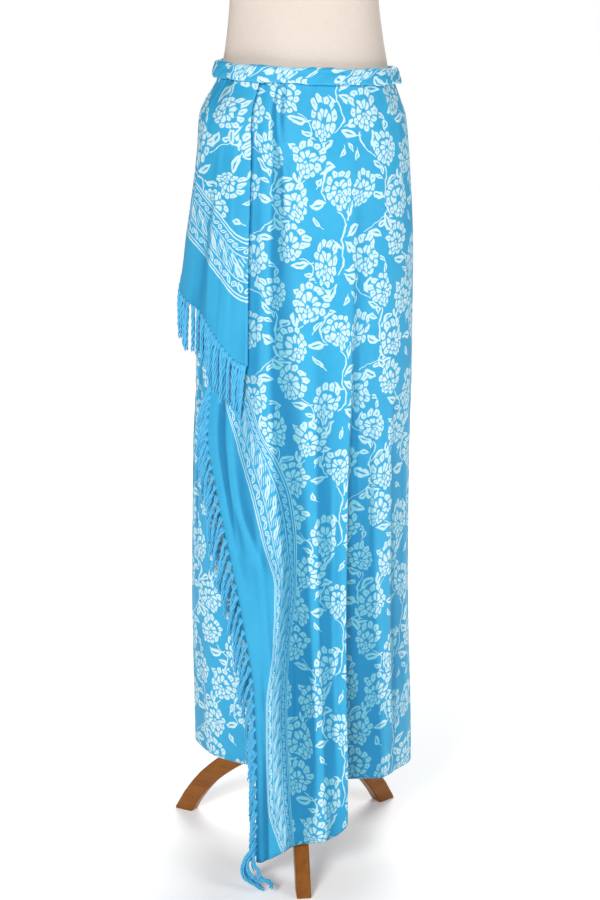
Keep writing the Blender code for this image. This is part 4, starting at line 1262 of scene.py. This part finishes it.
# painted shade: the colour is multiplied by a darker tint where the folds hide the light and beside the
# cascade
painted_shade = bench.mix_colour(bench.uv("deep").parts()[0], FULL_WHITE, PAINTED_FOLD_SHADE)
dye_and_painted_shade = bench.mix_colour(1.0, dye_and_painted_shade, painted_shade, "MULTIPLY")
shaded = bench.put("ShaderNodeHueSaturation", {"Color": dye_and_painted_shade, "Value": threads["Shade"]})
hem_run, hem_along, _ = bench.uv("hem").parts()
dash = (hem_along * (TURN / STITCH_STEP)).sine() + 0.3
stitch = (STITCH_HALF_WIDTH - abs(hem_run - HEM_LINE)).edge(0.0006) * dash.edge(0.6)
bench.feed(bench.mix_colour(stitch * 0.35, shaded, STITCH_BLUE), surface["Base Color"])
bench.feed(mask.fit(0.06, 0.56), surface["Roughness"])
crumple = bench.noise(bench.vector("MULTIPLY", field, (1.0, 0.35, 1.0)), 45.0, 3.0)
height = threads["Height"].fit(0.10, crumple * 1.2)
height = (HEM_LINE - hem_run).edge(0.0012).fit(0.5, height) - stitch * 0.4
bump(bench, surface, height, 0.55, 0.0012)
for piece in (first_layer, front_layer, cascade, rolled_band):
    piece.data.materials.append(batik)
print("batik:", len(batik.node_tree.nodes), "nodes")

# %% [markdown]
# ## The yarn of the fringe
# The locks are the cloth's own warp threads, dyed plain blue. Fine slanting lines along each ply, from
# the map that runs round and along it, show the thread's twist and catch the light.

# %% Yarn material
YARN_BLUE = (0.075, 0.50, 0.80, 1.0)
DEEP_YARN = (0.045, 0.39, 0.69, 1.0)
YARN_TWIST = 1.6 * MM

yarn, bench, surface = new_material("fringe_rayon", {"Roughness": 0.6, "Sheen Weight": 0.15})
wound, length, _ = bench.uv("yarn").parts()
twist = (wound.fit(0.9, length) * (TURN / YARN_TWIST)).sine()
tint = twist.fit(0.16, bench.noise(bench.where(), 160.0) * 0.9, clamp=True)
bench.feed(bench.mix_colour(tint, YARN_BLUE, DEEP_YARN), surface["Base Color"])
bump(bench, surface, twist, 0.5, 0.0003)
for piece in (upper_fringe, lower_fringe):
    piece.data.materials.append(yarn)
print("yarn:", len(yarn.node_tree.nodes), "nodes")

# %% [markdown]
# ## The form's cover
# Over the padding goes a cream linen cover, drawn tight: the coarser weave, faint uneven threads and a
# seam down each side.

# %% Linen material
CREAM = (0.650, 0.570, 0.505, 1.0)
DEEP_CREAM = (0.605, 0.525, 0.460, 1.0)
MEAN_RADIUS = 0.115

linen, bench, surface = new_material("form_linen", {"Roughness": 0.88})
where = bench.where()
away_x, away_y, level_z = where.parts()
round_way = bench.math("ARCTAN2", away_x - (AXIS_X + 0.006), AXIS_Y - away_y) * MEAN_RADIUS
round_it = bench.pair(round_way, level_z)
threads = bench.use(weave, {"Place": round_it, "Threads per metre": 1100.0, "Slub": 0.16})
cream = bench.mix_colour(bench.noise(where, 9.0), CREAM, DEEP_CREAM)
toned = bench.put("ShaderNodeHueSaturation", {"Color": cream, "Value": threads["Shade"]})
bench.feed(toned, surface["Base Color"])
seam_line = (0.0009 - abs(away_y - (AXIS_Y - 0.004))).edge(0.0008)
bump(bench, surface, threads["Height"] * 0.35 - seam_line, 0.5, 0.0008)
padded_form.data.materials.append(linen)
print("linen:", len(linen.node_tree.nodes), "nodes")

# %% [markdown]
# ## The wood of the stand
# The pole, hub, legs and neck cap are stained hardwood with a satin varnish. The grain is a noise
# stretched along the length of each piece, so each leg turns the pattern to its own direction.

# %% Wood materials
STAIN = (0.285, 0.095, 0.007, 1.0)
DEEP_STAIN = (0.185, 0.056, 0.004, 1.0)
PORE = (0.09, 0.03, 0.008, 1.0)
VARNISH = {"Coat Weight": 0.03, "Coat Roughness": 0.3, "Specular IOR Level": 0.25}
LEG_TURNS = {"stand_leg_front": 5.5, "stand_leg_right": 128.5, "stand_leg_left": 243.0}

bench, given, result = new_group("wood_grain", {"Place": ORIGIN}, {"Shade": "Float", "Pores": "Float"})
grain = bench.tree
broad = bench.noise(given["Place"], (5.0, 60.0, 60.0), 4.0, distortion=0.6)
fine = bench.noise(given["Place"], (30.0, 900.0, 900.0))
bench.feed(broad.fit(2.2, -0.6, clamp=True), result["Shade"])
bench.feed((fine - 0.60).edge(0.08), result["Pores"])


def wood(name, turn):
    """Stained wood whose grain runs along X after the point is turned by these degrees about X, Y, Z."""
    made, bench, surface = new_material(name, VARNISH)
    centred = bench.vector("SUBTRACT", bench.where(), (AXIS_X - 0.014, AXIS_Y, 0.0))
    mapping = {"Vector": centred, "Rotation": tuple(math.radians(v) for v in turn)}
    outputs = bench.use(grain, {"Place": bench.put("ShaderNodeMapping", mapping, vector_type="POINT")})
    stained = bench.mix_colour(outputs["Shade"], STAIN, DEEP_STAIN)
    bench.feed(bench.mix_colour(outputs["Pores"] * 0.45, stained, PORE), surface["Base Color"])
    bench.feed(outputs["Pores"].fit(0.25, 0.36), surface["Roughness"])
    bump(bench, surface, 1.0 - outputs["Pores"], 0.25, 0.0003)
    return made


turned_wood = wood("turned_wood", (0.0, 90.0, 0.0))
for name in ("pole_collar", "stand_pole", "stand_hub", "neck_cap"):
    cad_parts[name].data.materials[0] = turned_wood
for name, turn in LEG_TURNS.items():
    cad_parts[name].data.materials[0] = wood(name + "_wood", (0.0, 0.0, 90.0 - turn))
print("wood on", 4 + len(LEG_TURNS), "solids")

# %% [markdown]
# ## The sheets of one length
# The sheets here are parts of one length: the first turn with the rolled top edge that goes with it, the
# front turn with its fringed end, and the end that falls over itself.

# %% [markdown]
# ## Floor, light and finish
# A pale floor that brightens towards its rim and a sky that the camera sees white give the even
# ground of a product photograph. One large soft lamp from the front left models the folds, a weaker
# one from the right keeps their dark sides open, and one from behind lights the floor.

# %% Stage and lights
FLOOR_RADIUS = 3.2
# distances from the middle in m at which the floor's own glow starts and is full, and its two strengths
FLOOR_GLOW = (0.5, 2.0, 0.20, 1.0)
SKY_SEEN = 1.0
SKY_LIGHT = 0.10
# name, place, aims at, side in m, watts
LAMPS = (
    ("key", (-1.5, -3.7, 2.4), (0.0, 0.0, 0.75), 1.3, 152.0),
    ("fill", (3.0, -1.7, 1.6), (0.0, 0.0, 0.6), 1.6, 50.0),
    ("back", (0.5, 2.6, 2.8), (0.0, 0.0, 0.2), 2.2, 105.0),
)

floor_turn = np.linspace(0.0, 2.0 * np.pi, 96, endpoint=False)
floor_rim = np.stack([np.cos(floor_turn), np.sin(floor_turn), 0.0 * floor_turn], axis=-1) * FLOOR_RADIUS
floor_mesh = bpy.data.meshes.new("floor")
floor_mesh.from_pydata(floor_rim.tolist(), [], [list(range(len(floor_rim)))])
floor = placed("floor", floor_mesh)
pale_numbers = {"Base Color": (0.93, 0.93, 0.93, 1.0), "Roughness": 0.9, "Specular IOR Level": 0.1}
pale, bench, surface = new_material("pale_floor", pale_numbers | {"Emission Strength": 1.0})
glow_inputs = {0: bench.where().length()} | dict(enumerate(FLOOR_GLOW, 1))
glow = bench.put("ShaderNodeMapRange", glow_inputs, interpolation_type="SMOOTHSTEP")
bench.feed(bench.put("ShaderNodeCombineColor", {0: glow, 1: glow, 2: glow}), surface["Emission Color"])
floor.data.materials.append(pale)

world = bpy.data.worlds.new("soft_sky")
world.use_nodes = True
bench = Bench(world.node_tree)
background = world.node_tree.nodes["Background"].inputs
background["Color"].default_value = FULL_WHITE
seen = bench.put("ShaderNodeLightPath", {}, "Is Camera Ray")
bench.feed(seen.fit(SKY_SEEN - SKY_LIGHT, SKY_LIGHT), background["Strength"])
bpy.context.scene.world = world
bpy.context.scene.view_settings.view_transform = "Standard"

for name, place, target, side, watts in LAMPS:
    lamp_data = bpy.data.lights.new(name, "AREA")
    lamp_data.size = side
    lamp_data.energy = watts
    lamp = placed(name, lamp_data)
    lamp.location = place
    way = np.array(target) - np.array(place)
    tilt = math.atan2(math.hypot(way[0], way[1]), -way[2])
    lamp.rotation_euler = (tilt, 0.0, math.atan2(way[1], way[0]) - math.pi / 2.0)
print("lamps:", len(LAMPS))
